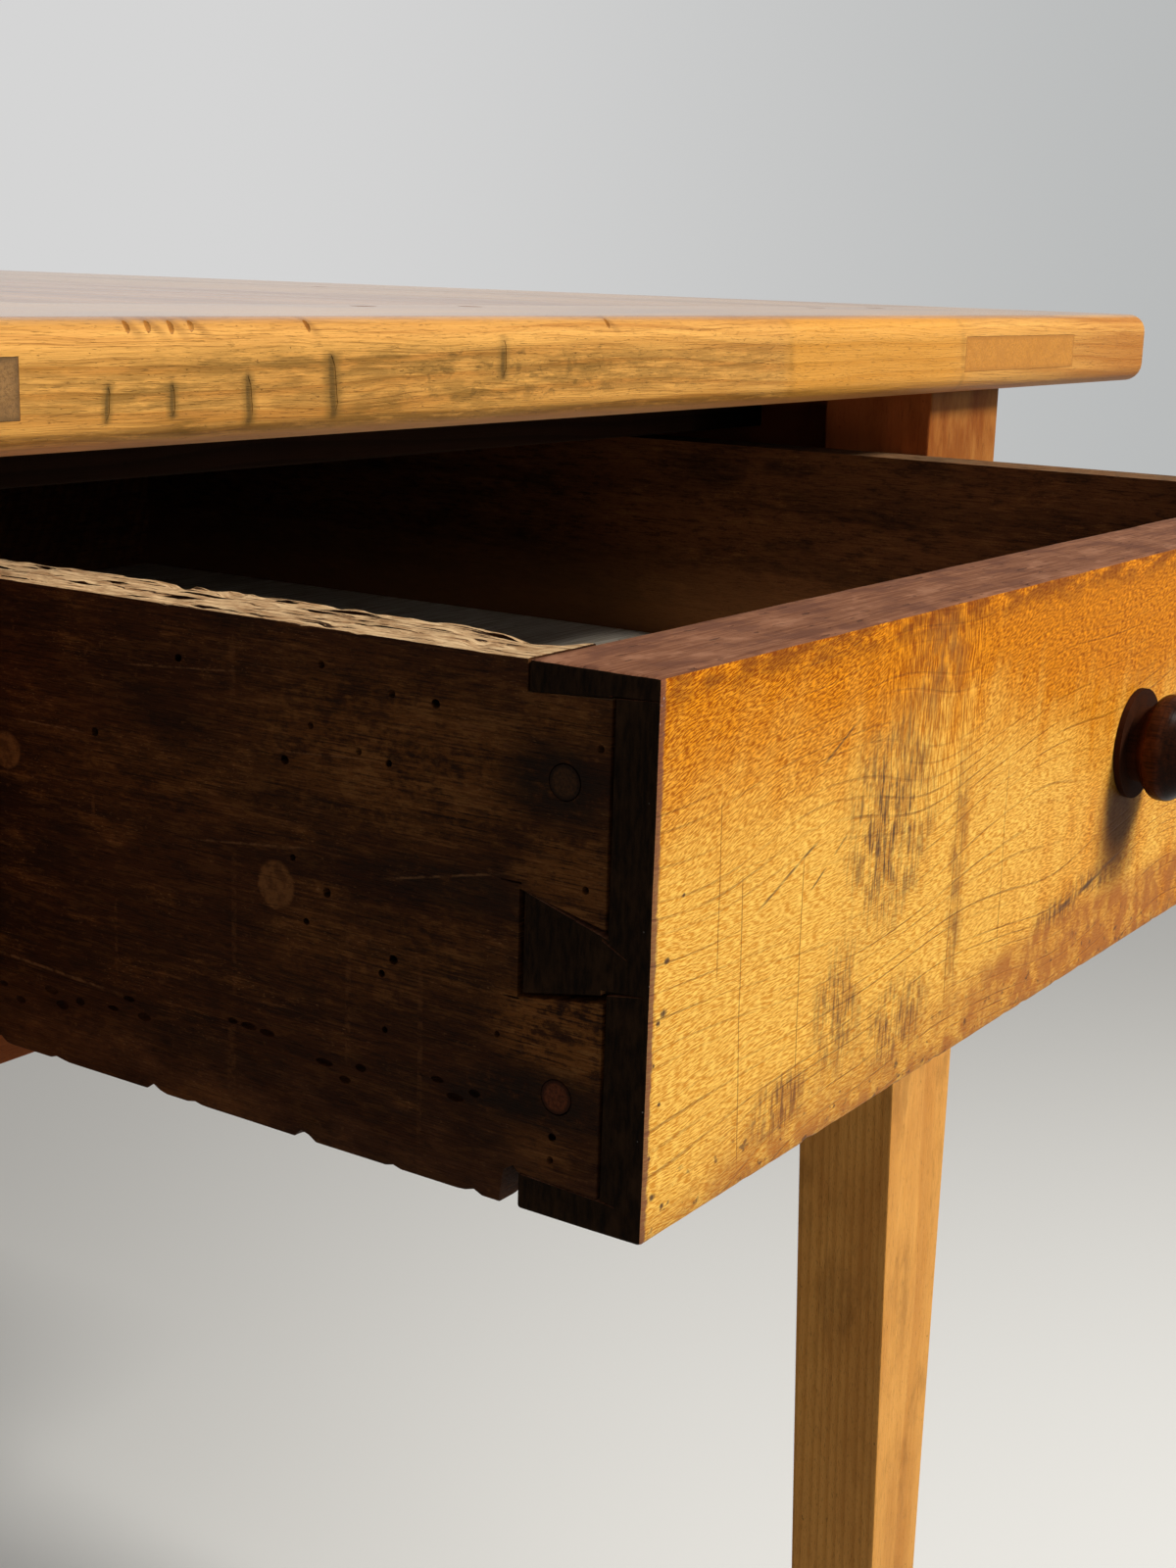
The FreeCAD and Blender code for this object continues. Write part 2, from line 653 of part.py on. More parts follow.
# The knob is turned about its own Z, which lies along -Y in the drawer front.
knob = doc.addObject("PartDesign::Body", "drawer_knob")
knob.Placement = FreeCAD.Placement(FreeCAD.Vector(), FreeCAD.Rotation(FreeCAD.Vector(1, 0, 0), 90))
place(knob, "0", "drawerFace", "drawerBase + knobRise")
head = "knobFootThick + knobNeckLong"
profile = [("0", "0 - frontThick"), ("spigotRadius", "0 - frontThick"), ("spigotRadius", "0"),
           ("knobFoot", "0"), ("knobFoot", "knobFootThick"), ("knobNeck", "knobFootThick"),
           ("knobNeck", head),
           *[("knobRadius", f"{head} + {share} * knobRim") for share in KNOB_SWELL_SHARES],
           ("knobFace", "knobReach"), ("0", "knobReach")]
turning = knob.newObject("PartDesign::Revolution", "knob_turning")
turning.Profile = outline(knob, "XZ", profile, "0")
turning.ReferenceAxis = (turning.Profile[0], ["V_Axis"])
turning.Angle = 360


def ring_at(radius, level):
    """A test for a circle of the knob with this radius at this height."""
    def fits(box):
        wide = abs(box.XLength - 2 * radius) + abs(box.YLength - 2 * radius)
        return wide + box.ZLength + abs(box.Center.z - level) < sheet.jointGap
    return fits


neck_end = sheet.knobFootThick + sheet.knobNeckLong
swell = [ring_at(sheet.knobRadius, neck_end + share * sheet.knobRim) for share in KNOB_SWELL_SHARES]
round_edges(knob, lambda box: any(fits(box) for fits in swell), "knobSwell")
round_edges(knob, ring_at(sheet.knobFace, sheet.knobReach), "knobDome")
node(knob, "drawer_knob")

doc.recompute()
for item in doc.Objects:
    faults = [state for state in item.State if state in ("Invalid", "Error")]
    if faults:
        raise RuntimeError(f"{item.Label} is {faults}")
    if item.TypeId == "PartDesign::Pocket" and item.Shape.Volume >= item.BaseFeature.Shape.Volume:
        raise RuntimeError(f"{item.Label} cuts nothing")
for item in nodes:
    if item.Shape.isNull() or not item.Shape.isValid() or not item.Shape.Solids:
        raise RuntimeError(f"{item.Label} has no valid solid")

os.makedirs("parts", exist_ok=True)
for item in nodes:
    item.Shape.exportStep(f"parts/{item.Label}.step")
    print(item.Label, len(item.Shape.Solids), "solids", round(item.Shape.Volume / 1000), "cm3")
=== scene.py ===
import math
import random

import bmesh
import bpy
from mathutils import Matrix, Vector, noise


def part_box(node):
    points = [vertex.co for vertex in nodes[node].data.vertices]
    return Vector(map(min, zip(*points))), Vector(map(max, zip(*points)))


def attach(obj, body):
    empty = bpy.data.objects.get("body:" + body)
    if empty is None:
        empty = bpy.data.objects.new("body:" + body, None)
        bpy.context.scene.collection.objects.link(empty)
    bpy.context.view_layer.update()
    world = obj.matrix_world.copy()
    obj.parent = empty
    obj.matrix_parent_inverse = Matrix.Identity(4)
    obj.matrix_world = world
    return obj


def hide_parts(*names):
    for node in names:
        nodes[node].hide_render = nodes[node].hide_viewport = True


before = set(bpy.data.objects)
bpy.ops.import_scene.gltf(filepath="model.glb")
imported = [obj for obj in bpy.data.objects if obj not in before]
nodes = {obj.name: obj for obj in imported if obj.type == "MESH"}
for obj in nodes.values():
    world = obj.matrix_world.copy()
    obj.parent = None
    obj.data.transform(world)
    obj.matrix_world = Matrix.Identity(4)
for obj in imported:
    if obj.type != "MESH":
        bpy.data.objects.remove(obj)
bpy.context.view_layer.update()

mm = 0.001
print("frame loaded,", len(nodes), "nodes")

# where the camera stood, in millimetres from the drawer's front left top corner, and how it was turned
cameraView = {"place": (-308.7, -193, -67.8), "yaw": 56.08, "pitch": 13.394, "roll": 1.762, "lens": 49.92,
              "sensorWide": 36, "clipNear": 0.02}


def toned(red, green, blue):
    # screen values from 0 to 255, as the linear colour that a shader takes
    shares = [value / 255 for value in (red, green, blue)]
    linear = [share / 12.92 if share <= 0.04045 else ((share + 0.055) / 1.055) ** 2.4 for share in shares]
    return (*linear, 1)


class Flow:
    # one socket of a material, so that sums on it add their own nodes

    def __init__(self, tree, socket=None):
        self.tree = tree
        self.socket = socket
        self.tone = None  # the colour of a finish so far

    def node(self, kind, settings=None, values=None, out=0):
        made = self.tree.nodes.new("ShaderNode" + kind)
        for name, value in (settings or {}).items():
            setattr(made, name, value)
        for key, value in (values or {}).items():
            if isinstance(value, Flow):
                self.tree.links.new(value.socket, made.inputs[key])
            else:
                made.inputs[key].default_value = value
        return Flow(self.tree, made.outputs[out] if made.outputs else None)

    def sum(self, operation, *values):
        return self.node("Math", {"operation": operation}, dict(enumerate(values)))

    def __add__(self, other):
        return self.sum("ADD", self, other)

    def __radd__(self, other):
        return self.sum("ADD", other, self)

    def __sub__(self, other):
        return self.sum("SUBTRACT", self, other)

    def __rsub__(self, other):
        return self.sum("SUBTRACT", other, self)

    def __mul__(self, other):
        return self.sum("MULTIPLY", self, other)

    def __rmul__(self, other):
        return self.sum("MULTIPLY", other, self)

    def __truediv__(self, other):
        return self.sum("DIVIDE", self, other)

    def __pow__(self, other):
        return self.sum("POWER", self, other)

    def __abs__(self):
        return self.sum("ABSOLUTE", self)

    def part(self):
        return self.sum("FRACT", self)

    def most(self, other):
        return self.sum("MAXIMUM", self, other)

    def least(self, other):
        return self.sum("MINIMUM", self, other)

    def rise(self, low, high):
        # 0 below low, 1 above high, smooth between
        settings = {"interpolation_type": "SMOOTHSTEP"}
        return self.node("MapRange", settings, {"Value": self, "From Min": low, "From Max": high})

    def blend(self, first, second):
        # this value goes from the first colour to the second
        return self.node("Mix", {"data_type": "RGBA"}, {0: self, 6: first, 7: second}, out=2)

    def tint(self, tone, *screen):
        # this value goes from a colour to one given in screen values
        return self.blend(tone, toned(*screen))

    def lay(self, mask, *colour):
        # a further colour over the finish, as a socket, a linear colour or screen values
        self.tone = mask.blend(self.tone, colour[0]) if len(colour) == 1 else mask.tint(self.tone, *colour)

    def vector(self, across, up, deep):
        return self.node("CombineXYZ", None, {0: across, 1: up, 2: deep})

    def grains(self, x, y, z, detail=3, rough=0.5, twist=0):
        # noise with marks about as long, in millimetres, as what each place was divided by
        values = {"Vector": self.vector(x, y, z), "Scale": 1, "Detail": detail, "Roughness": rough,
                  "Distortion": twist}
        return self.node("TexNoise", None, values)

    def cells(self, x, y, z):
        return self.node("TexVoronoi", None, {"Vector": self.vector(x, y, z), "Scale": 1})

    def places(self):
        # the surface's own x, y and z in millimetres
        spot = self.node("TexCoord", out="Object")
        scaled = self.node("VectorMath", {"operation": "SCALE"}, {0: spot, "Scale": 1 / mm})
        return [self.node("SeparateXYZ", None, {0: scaled}, out=axis) for axis in range(3)]

    def facing(self, axis):
        # how far the surface faces along one axis
        normal = self.node("TexCoord", out="Normal")
        return self.node("SeparateXYZ", None, {0: normal}, out=axis)

    def seen(self):
        # 1 to the eye, straight on or through gloss and glass, and 0 to other light
        kinds = ("Is Camera Ray", "Is Glossy Ray", "Is Transmission Ray")
        straight, glossy, clear = (self.node("LightPath", out=kind) for kind in kinds)
        return (straight + glossy + clear).least(1)


def newFinish(name):
    # an empty material, its first socket and the surface's places
    made = bpy.data.materials.new(name)
    made.use_nodes = True
    made.node_tree.nodes.clear()
    flow = Flow(made.node_tree)
    return made, flow, flow.places()


def finished(name, finish, *details):
    # a material made by one of the finishes below, each of which ends in varnish
    made, flow, places = newFinish(name)
    finish(flow, *places, *details)
    return made


def varnish(flow, rough, height, gloss, coat=0, coatRough=0.25):
    # the shader at the end of each finish; height is the relief in millimetres
    relief = flow.node("Bump", None, {"Strength": 1, "Distance": mm, "Height": height})
    values = {"Base Color": flow.tone, "Roughness": rough, "Normal": relief, "Specular IOR Level": gloss,
              "Coat Weight": coat, "Coat Roughness": coatRough}
    shader = flow.node("BsdfPrincipled", None, values)
    flow.node("OutputMaterial", None, {"Surface": shader})


def spotMask(u, v, middle, reach, soft=0.5):
    # an oval patch, full in its middle and gone at its reach
    far = (((u - middle[0]) / reach[0]) ** 2 + ((v - middle[1]) / reach[1]) ** 2) ** 0.5
    return far.rise(1 + soft, 1 - soft)


def boardTone(flow, along, across, deep, look):
    # a sawn board's colour and relief: growth rings round a distant pith, fibres and pores
    sway = flow.grains(along / look["swayLong"], across / 70, deep / 70, 2)
    bent = across + (sway - 0.5) * look["sway"]
    pithAcross, pithDeep = look["pith"]
    radius = ((bent - pithAcross) ** 2 + (deep - pithDeep) ** 2) ** 0.5
    uneven = flow.grains(along / 400, radius / 9, 0, 2)
    ring = (radius / look["ring"] + uneven * 1.5).part()
    late = ring.rise(0.35, 0.9) * ring.rise(1, 0.93)
    fibre = flow.grains(along / look["fibreLong"], across / 0.5, deep / 0.5, 4, 0.65)
    pore = flow.grains(along / 4.5, across / 0.22, deep / 0.22, 2, 0.6).rise(0.6, 0.72)
    cloud = flow.grains(along / 90, across / 28, deep / 28, 3, 0.6)
    tone = (late * look["ringStrength"]).blend(look["pale"], look["deep"])
    tone = fibre.rise(0.35, 0.75).blend(tone, (late * 0.4 + 0.6).blend(tone, look["mid"]))
    tone = (cloud.rise(0.35, 0.75) * look["cloud"]).blend(tone, look["deep"])
    tone = (pore * look["pore"]).blend(tone, look["dark"])
    height = fibre * 0.12 - pore * 0.1 - late * 0.04
    return tone, height


print("tools ready")

# the drawer's own corner: left face, front face and top edge
frontLow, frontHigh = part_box("drawer_front")
drawerLeft = frontLow.x / mm
drawerFace = frontLow.y / mm
drawerTop = frontHigh.z / mm
topLow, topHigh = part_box("cleat_front")
underside = topLow.z / mm


def fromCorner(x, y, z):
    # right, back and down from the drawer's own corner
    return x - drawerLeft, y - drawerFace, drawerTop - z


drawer = {
    "deep": 605, "high": 105, "front": 28, "side": 21.5, "lap": 10,
    # upper and lower edge of each tail below the drawer's top, at the shoulder and at the lap
    "tails": (((6.1, 4.8), (42.6, 48.3)), ((63.4, 59.9), (97.7, 98.4))),
    # pegs through the tails, back from the front and down from the top; room round a piece in its seat
    "pegs": ((19.6, 21.3), (19.6, 80.8)), "pegRadius": 3.25, "slack": 0.2,
}

# the middles of the two tenons that come through the front cleat
tenonSpots = [sum(corner.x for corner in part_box(node)) / 2 / mm
              for node in ("top_plank_left", "top_plank_right")]

honey = {"pale": toned(232, 172, 88), "mid": toned(206, 142, 62), "deep": toned(172, 106, 40),
         "dark": toned(84, 48, 18), "swayLong": 340, "sway": 26, "pith": (30, -210), "ring": 5.2,
         "ringStrength": 0.55, "fibreLong": 34, "cloud": 0.35, "pore": 0.45}
darkHoney = {**honey, "pale": toned(220, 154, 72), "mid": toned(194, 128, 52), "deep": toned(158, 94, 34)}
# where the top's boards meet: the planks side by side, and the cleats across their ends
plankSeams = [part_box("top_plank_left")[1].x / mm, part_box("top_plank_right")[0].x / mm]
cleatSeams = [topHigh.y / mm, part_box("cleat_back")[0].y / mm]

# end grain of each tenon that shows in the cleat's edge: pale, deep and rim, with the tenon's middle
tenonEnds = {
    "left": (toned(150, 112, 66), toned(118, 87, 52), toned(80, 60, 36), tenonSpots[0]),
    "right": (toned(212, 144, 54), toned(188, 122, 42), toned(178, 116, 42), tenonSpots[1]),
    "rimAside": (51, 53.4), "rimUp": (4.6, 6.6), "middleUp": 14.5,
}


def topFinish(flow, x, y, z, lengthwise, shift, look, end=None):
    # the waxed top, its grain along X on the cleats and along Y on the planks
    along, across = (x, y) if lengthwise == "x" else (y, x)
    flow.tone, height = boardTone(flow, along + shift, across + shift * 0.37, z, look)
    up = flow.facing(2)
    top = up.rise(0.75, 0.97)
    below = up.rise(-0.6, -0.95)
    # the upper face: dark patina, rings and knocks of long use
    patina = flow.grains((along + shift) / 210, across / 52, z / 50, 7, 0.66)
    flow.lay(top * patina.rise(0.42, 0.64) * 0.55, 124, 70, 26)
    seam = abs(y - cleatSeams[0]).least(abs(y - cleatSeams[1]))
    if lengthwise == "y":
        seam = seam.least(abs(x - plankSeams[0])).least(abs(x - plankSeams[1]))
    grit = flow.grains(x / 14, y / 14, 0, 4, 0.6)
    flow.lay(top * (seam + grit * 3).rise(3.4, 1.6) * 0.8, 52, 30, 15)
    stain = abs(flow.cells(x / 170, y / 170, 0) - 0.3).rise(0.026, 0.008) * grit.rise(0.48, 0.6)
    flow.lay(top * stain * 0.4, 92, 54, 24)
    spots = flow.grains(x / 9, y / 13, z / 9, 3, 0.55).rise(0.66, 0.74)
    flow.lay(top * spots * 0.7, 62, 36, 18)
    scratch = flow.grains(x / 70 + y / 9, y / 60 - x / 8, 0, 2, 0.5).rise(0.69, 0.72)
    flow.lay(top * scratch * 0.5, 70, 42, 20)
    # painted shade: faces turned downward made near black
    flow.lay(below * 0.95, 24, 15, 10)
    if end:
        # end grain where a tenon comes through the cleat, dirty round its rim
        sawn = abs(flow.facing(1)).rise(0.6, 0.9)
        pores = flow.grains(x / 0.9, y / 4, z / 0.7, 4, 0.65)
        pale, deep, dirty, middle = tenonEnds[end]
        cut = pores.rise(0.4, 0.68).blend(pale, deep)
        cloud = flow.grains(x / 9, y / 9, z / 5, 4, 0.6).rise(0.42, 0.66)
        cut = (cloud * 0.5).blend(cut, deep)
        rim = abs(x - middle).rise(*tenonEnds["rimAside"])
        rim = rim.most(abs(z - underside - tenonEnds["middleUp"]).rise(*tenonEnds["rimUp"]))
        flow.lay(sawn * 0.95, (rim * 0.75).blend(cut, dirty))
    dents = spots * top
    rough = 0.44 - 0.24 * top + patina * 0.14 + below * 0.3
    varnish(flow, rough, height * (1 - top * 0.6) - dents * 0.12, 0.3, top * 0.6, 0.14)


cleatMarks = {
    # nicks in the edge: place, lower end, upper end, width and lean
    "nicks": ((27, 7, 14.2, 1.5, 0.1), (47, 7.2, 14.3, 1.7, 0), (72.2, 4.6, 15.7, 2.2, -0.06),
              (102.2, 5, 20, 3, -0.08), (171.4, 12.9, 23.3, 2.6, 0)),
    # their depth, and their outline as shares of width and height
    "nickDeep": 0.14,
    "nickShares": ((0, 0), (0.5, 0.22), (0.42, 0.8), (0.05, 1), (-0.38, 0.72), (-0.5, 0.25)),
    # knocks on the upper rounding: place and lean
    "knocks": ((36, 0.5), (42.5, 0.7), (49.5, 0.6), (56, 0.8), (95, 0.4), (225, 0.6)),
    # dirt patches: middle and reach
    "dirt": (((92, 18), (62, 4.5)), ((140, 17), (34, 5)), ((118, 6.5), (14, 2.6)), ((160, 9), (26, 3.5)),
             ((215, 14), (40, 6)), ((40, 12), (26, 5)), ((150, 18), (7, 4)), ((52, 4.5), (5, 2))),
    # a knock's middle behind the edge and above the underside, its half width, depth and heights
    "knockBack": 1.6, "knockUp": 27.7, "knockWide": 0.9, "knockDeep": 2.6, "knockTall": (2.2, 3.2),
    # where the flat faces start, and how far seams stand from the ends and beside each mark
    "flatFrom": 8.3, "endSeam": 10, "markSeam": 3.4,
    # old joint marks across the edge
    "seams": (331, 464),
}


def cleatFrontFinish(flow, x, y, z):
    # the end that shows: olive dirt in the middle of its edge, dark nicks, and a cleaner stretch
    flow.tone, height = boardTone(flow, x, y * 0.6 + z, y * 0.4, honey)
    u = x - drawerLeft
    w = z - underside
    up = flow.facing(2)
    front = flow.facing(1).rise(-0.2, -0.7)
    sway = flow.grains(x / 60, w / 12, 2, 2)
    line = flow.grains(x / 46, (w + sway * 5 + u * 0.012) / 0.55, y / 6, 4, 0.7)
    flow.lay(front * line.rise(0.52, 0.66) * 0.6, 146, 94, 34)
    flow.lay(front * line.rise(0.46, 0.34) * 0.5, 244, 182, 92)
    clean = u.rise(322, 336)
    dirt = flow.grains(x / 15, (w + sway * 2) / 2.2, y / 8, 5, 0.68)
    band = w.rise(5, 10) * w.rise(23, 16) * 0.5
    for middle, reach in cleatMarks["dirt"]:
        band = band.most(spotMask(u, w, middle, reach, 0.8) * 0.75)
    band = band * (1 - clean * 0.85)
    flow.lay(front * band * dirt.rise(0.34, 0.6) * 0.95, 124, 92, 40)
    blotch = flow.grains(x / 6, w / 3.5, y / 8, 4, 0.6, 0.4)
    blotched = u.rise(110, 140) * u.rise(300, 180) * w.rise(6, 9) * w.rise(24, 19)
    flow.lay(front * blotched * blotch.rise(0.54, 0.66) * 0.5, 96, 72, 32)
    pit = flow.grains(x / 2.2, w / 0.8, y / 4, 3, 0.6).rise(0.68, 0.74)
    flow.lay(front * pit * 0.6, 110, 70, 26)
    for place, low, high, width, lean in cleatMarks["nicks"]:
        away = abs(u - place - (w - low) * lean + (dirt - 0.5) * 0.8)
        ends = w.rise(low - 1.5, low + 0.5) * w.rise(high + 1.5, high - 0.5)
        flow.lay(away.rise(width * 1.6, width * 0.3) * ends * 0.65, 122, 92, 42)
        flow.lay(away.rise(width * 0.6, width * 0.1) * ends * 0.6, 84, 64, 32)
    for place, lean in cleatMarks["knocks"]:
        away = abs(u - place - (29 - w) * lean).rise(2.8, 0.3)
        flow.lay(away * w.rise(22, 26) * w.rise(29.6, 28.2) * 0.5, 128, 82, 30)
    for place in cleatMarks["seams"]:
        seam = abs(u - place + (w - 14) * 0.12 + (dirt - 0.5) * 3).rise(3.4, 0.2)
        flow.lay(front * seam * 0.42 * dirt.rise(0.3, 0.6), 120, 86, 38)
    flow.lay(front * clean * u.rise(480, 450) * 0.55, 226, 156, 56)
    flow.lay(u.rise(510, 645) * front * 0.65, 174, 102, 32)
    rim = w.rise(19, 22) * w.rise(27, 24) * front
    flow.lay(rim * line.rise(0.7, 0.42) * 0.5, 246, 184, 96)
    brow = w.rise(25.5, 28.5) * up.rise(0.95, 0.6)
    flow.lay(brow * 0.6, 178, 112, 42)
    # painted light from the floor: the lower rounding made paler
    low = w.rise(3.6, 0.8)
    flow.lay(low * 0.6, 206, 148, 104)
    lowLine = w.rise(1.6, 3.2) * w.rise(5.6, 4) * dirt.rise(0.3, 0.55)
    flow.lay(front.most(low) * lowLine * u.rise(420, 300) * 0.6, 112, 76, 26)
    top = up.rise(0.75, 0.97)
    patina = flow.grains(x / 150, y / 40, 0, 5, 0.62)
    flow.lay(top * patina.rise(0.4, 0.68) * 0.5, 124, 72, 28)
    # painted shade: faces turned downward made near black
    below = up.rise(-0.975, -0.995)
    flow.lay(below * 0.95, 24, 15, 10)
    rough = 0.46 + dirt * band * 0.2 - 0.26 * top + below * 0.3
    relief = height * (1 - top * 0.6) + line * front * 0.16 - dirt * band * front * 0.25 - pit * front * 0.15
    varnish(flow, rough, relief, 0.12, top * 0.6, 0.14)


legLook = {"pale": toned(246, 180, 94), "mid": toned(224, 152, 68), "deep": toned(166, 94, 34),
           "dark": toned(74, 40, 18), "swayLong": 300, "sway": 16, "pith": (60, -90), "ring": 4.4,
           "ringStrength": 0.3, "fibreLong": 30, "cloud": 0.35, "pore": 0.4}
apronLook = {**legLook, "pale": toned(178, 100, 52), "mid": toned(150, 80, 40), "deep": toned(112, 56, 27)}


def frameFinish(flow, x, y, z, lengthwise, look, shift):
    # legs and aprons: waxed outside, rubbed at the foot, with painted shade under the top and painted light
    # on their side faces there
    along, across, deep = {"x": (x, z, y), "y": (y, z, x), "z": (z, x, y)}[lengthwise]
    flow.tone, height = boardTone(flow, along + shift, across + deep * 0.35, deep + shift * 0.2, look)
    grimeAndShade = flow.grains(x / 24, y / 24, z / 60, 5, 0.6)
    flow.lay(grimeAndShade.rise(0.5, 0.72) * 0.4, 96, 54, 24)
    # painted shade of the top's overhang, mottled by the grime noise
    upper = z.rise(underside - 150, underside - 6)
    flow.lay(upper * (0.65 + grimeAndShade.rise(0.4, 0.6) * 0.3), 134, 68, 20)
    # painted light: side faces under the top made paler again, where the lamps leave them dark
    aside = abs(flow.facing(0)).rise(0.6, 0.9)
    flow.lay(upper * aside * (0.5 + grimeAndShade.rise(0.6, 0.4) * 0.4), 202, 106, 56)
    scuff = z.rise(140, 10) * flow.grains(x / 5, y / 5, z / 16, 4, 0.65).rise(0.5, 0.64)
    flow.lay(scuff * 0.7, 78, 50, 30)
    nicks = flow.grains(x / 3, y / 3, z / 5, 3, 0.6).rise(0.7, 0.76)
    flow.lay(nicks * 0.5, 90, 52, 24)
    varnish(flow, 0.46 + grimeAndShade * 0.16, height - scuff * 0.2 - nicks * 0.15, 0.06)


# the inside softwood's colours, dark partly as painted shade under the top
innerLook = {"pale": toned(46, 28, 18), "mid": toned(36, 22, 14), "deep": toned(25, 15, 9),
             "dark": toned(18, 11, 8), "swayLong": 300, "sway": 30, "pith": (0, -120), "ring": 4.2,
             "ringStrength": 0.6, "fibreLong": 26, "cloud": 0.5, "pore": 0.4}


def innerFinish(flow, x, y, z, lengthwise):
    # unfinished softwood inside, gone dark and dusty, and painted darker still as shade under the top
    along, across, deep = {"x": (x, y, z), "y": (y, x, z)}[lengthwise]
    flow.tone, height = boardTone(flow, along, across, deep, innerLook)
    dust = flow.facing(2).rise(0.3, 0.9) * flow.grains(x / 40, y / 40, z / 40, 4, 0.6).rise(0.35, 0.7)
    flow.lay(dust * 0.35, 134, 118, 100)
    saw = (along * 0.9 + flow.grains(x / 30, y / 30, z / 30) * 2.5).part().rise(0.2, 0.8)
    varnish(flow, 0.78 + dust * 0.15, height + saw * 0.08, 0.05)


print("top and frame finishes ready")

frontLook = {
    "bright": toned(255, 204, 98), "gold": toned(212, 142, 46), "amber": toned(236, 150, 26),
    "orange": toned(158, 78, 3), "umber": toned(118, 62, 14), "stain": toned(72, 52, 43),
    "edge": toned(112, 54, 18), "rubbed": toned(120, 76, 62), "low": toned(164, 96, 42),
    "smear": toned(150, 92, 40),
    # middle and reach of each patch of upright strokes, with its strength
    "patches": (((93, 42), (17, 20), 0.85), ((73, 79), (9, 12), 0.7), ((101, 90), (13, 9), 0.75),
                ((50, 93), (10, 6), 0.8), ((128, 62), (4, 26), 0.3), ((112, 12), (12, 12), 0.3),
                ((190, 86), (12, 3.5), 0.8), ((218, 82), (20, 3), 0.7)),
    # the knob's painted shadow with its grime, and the swirl: middle and reach of each
    "knobShadowAndGrime": ((228, 70), (13, 17)), "swirl": ((112, 12), (26, 34)),
    # thin upright scratches: place, upper end, lower end, lean
    "hairs": ((22.5, 24, 62, 0.02), (29.5, 40, 103, 0.05), (54, 42, 92, 0.03), (126, 20, 95, 0),
              (128.5, 48, 90, 0.02), (153, 40, 88, 0.01)),
    # dark sloping marks: start and end below the top, with a width
    "marks": (((36, 50), (62, 40), 0.5), ((56, 52), (74, 41), 0.4), ((186, 86), (232, 79), 1.1),
              ((60, 26), (78, 17), 0.4), ((40, 99), (56, 95), 0.8)),
    # small dark dints near the corner: place and size
    "dints": ((5.5, 52, 0.7), (5, 61.5, 0.9), (3.4, 63, 0.6), (2.4, 71, 0.5), (4.6, 79, 0.5),
              (3.6, 96.5, 0.8), (7, 99.5, 0.7), (2, 88.5, 0.5), (10.5, 41, 0.5)),
}


def strokeMask(u, w, start, end, width):
    # a thin straight mark from one point to another
    run = (end[0] - start[0], end[1] - start[1])
    long = math.hypot(*run)
    along = ((u - start[0]) * run[0] + (w - start[1]) * run[1]) / long
    aside = abs((w - start[1]) * run[0] - (u - start[0]) * run[1]) / long
    return aside.rise(width, width * 0.2) * along.rise(0, long * 0.2) * along.rise(long, long * 0.8)


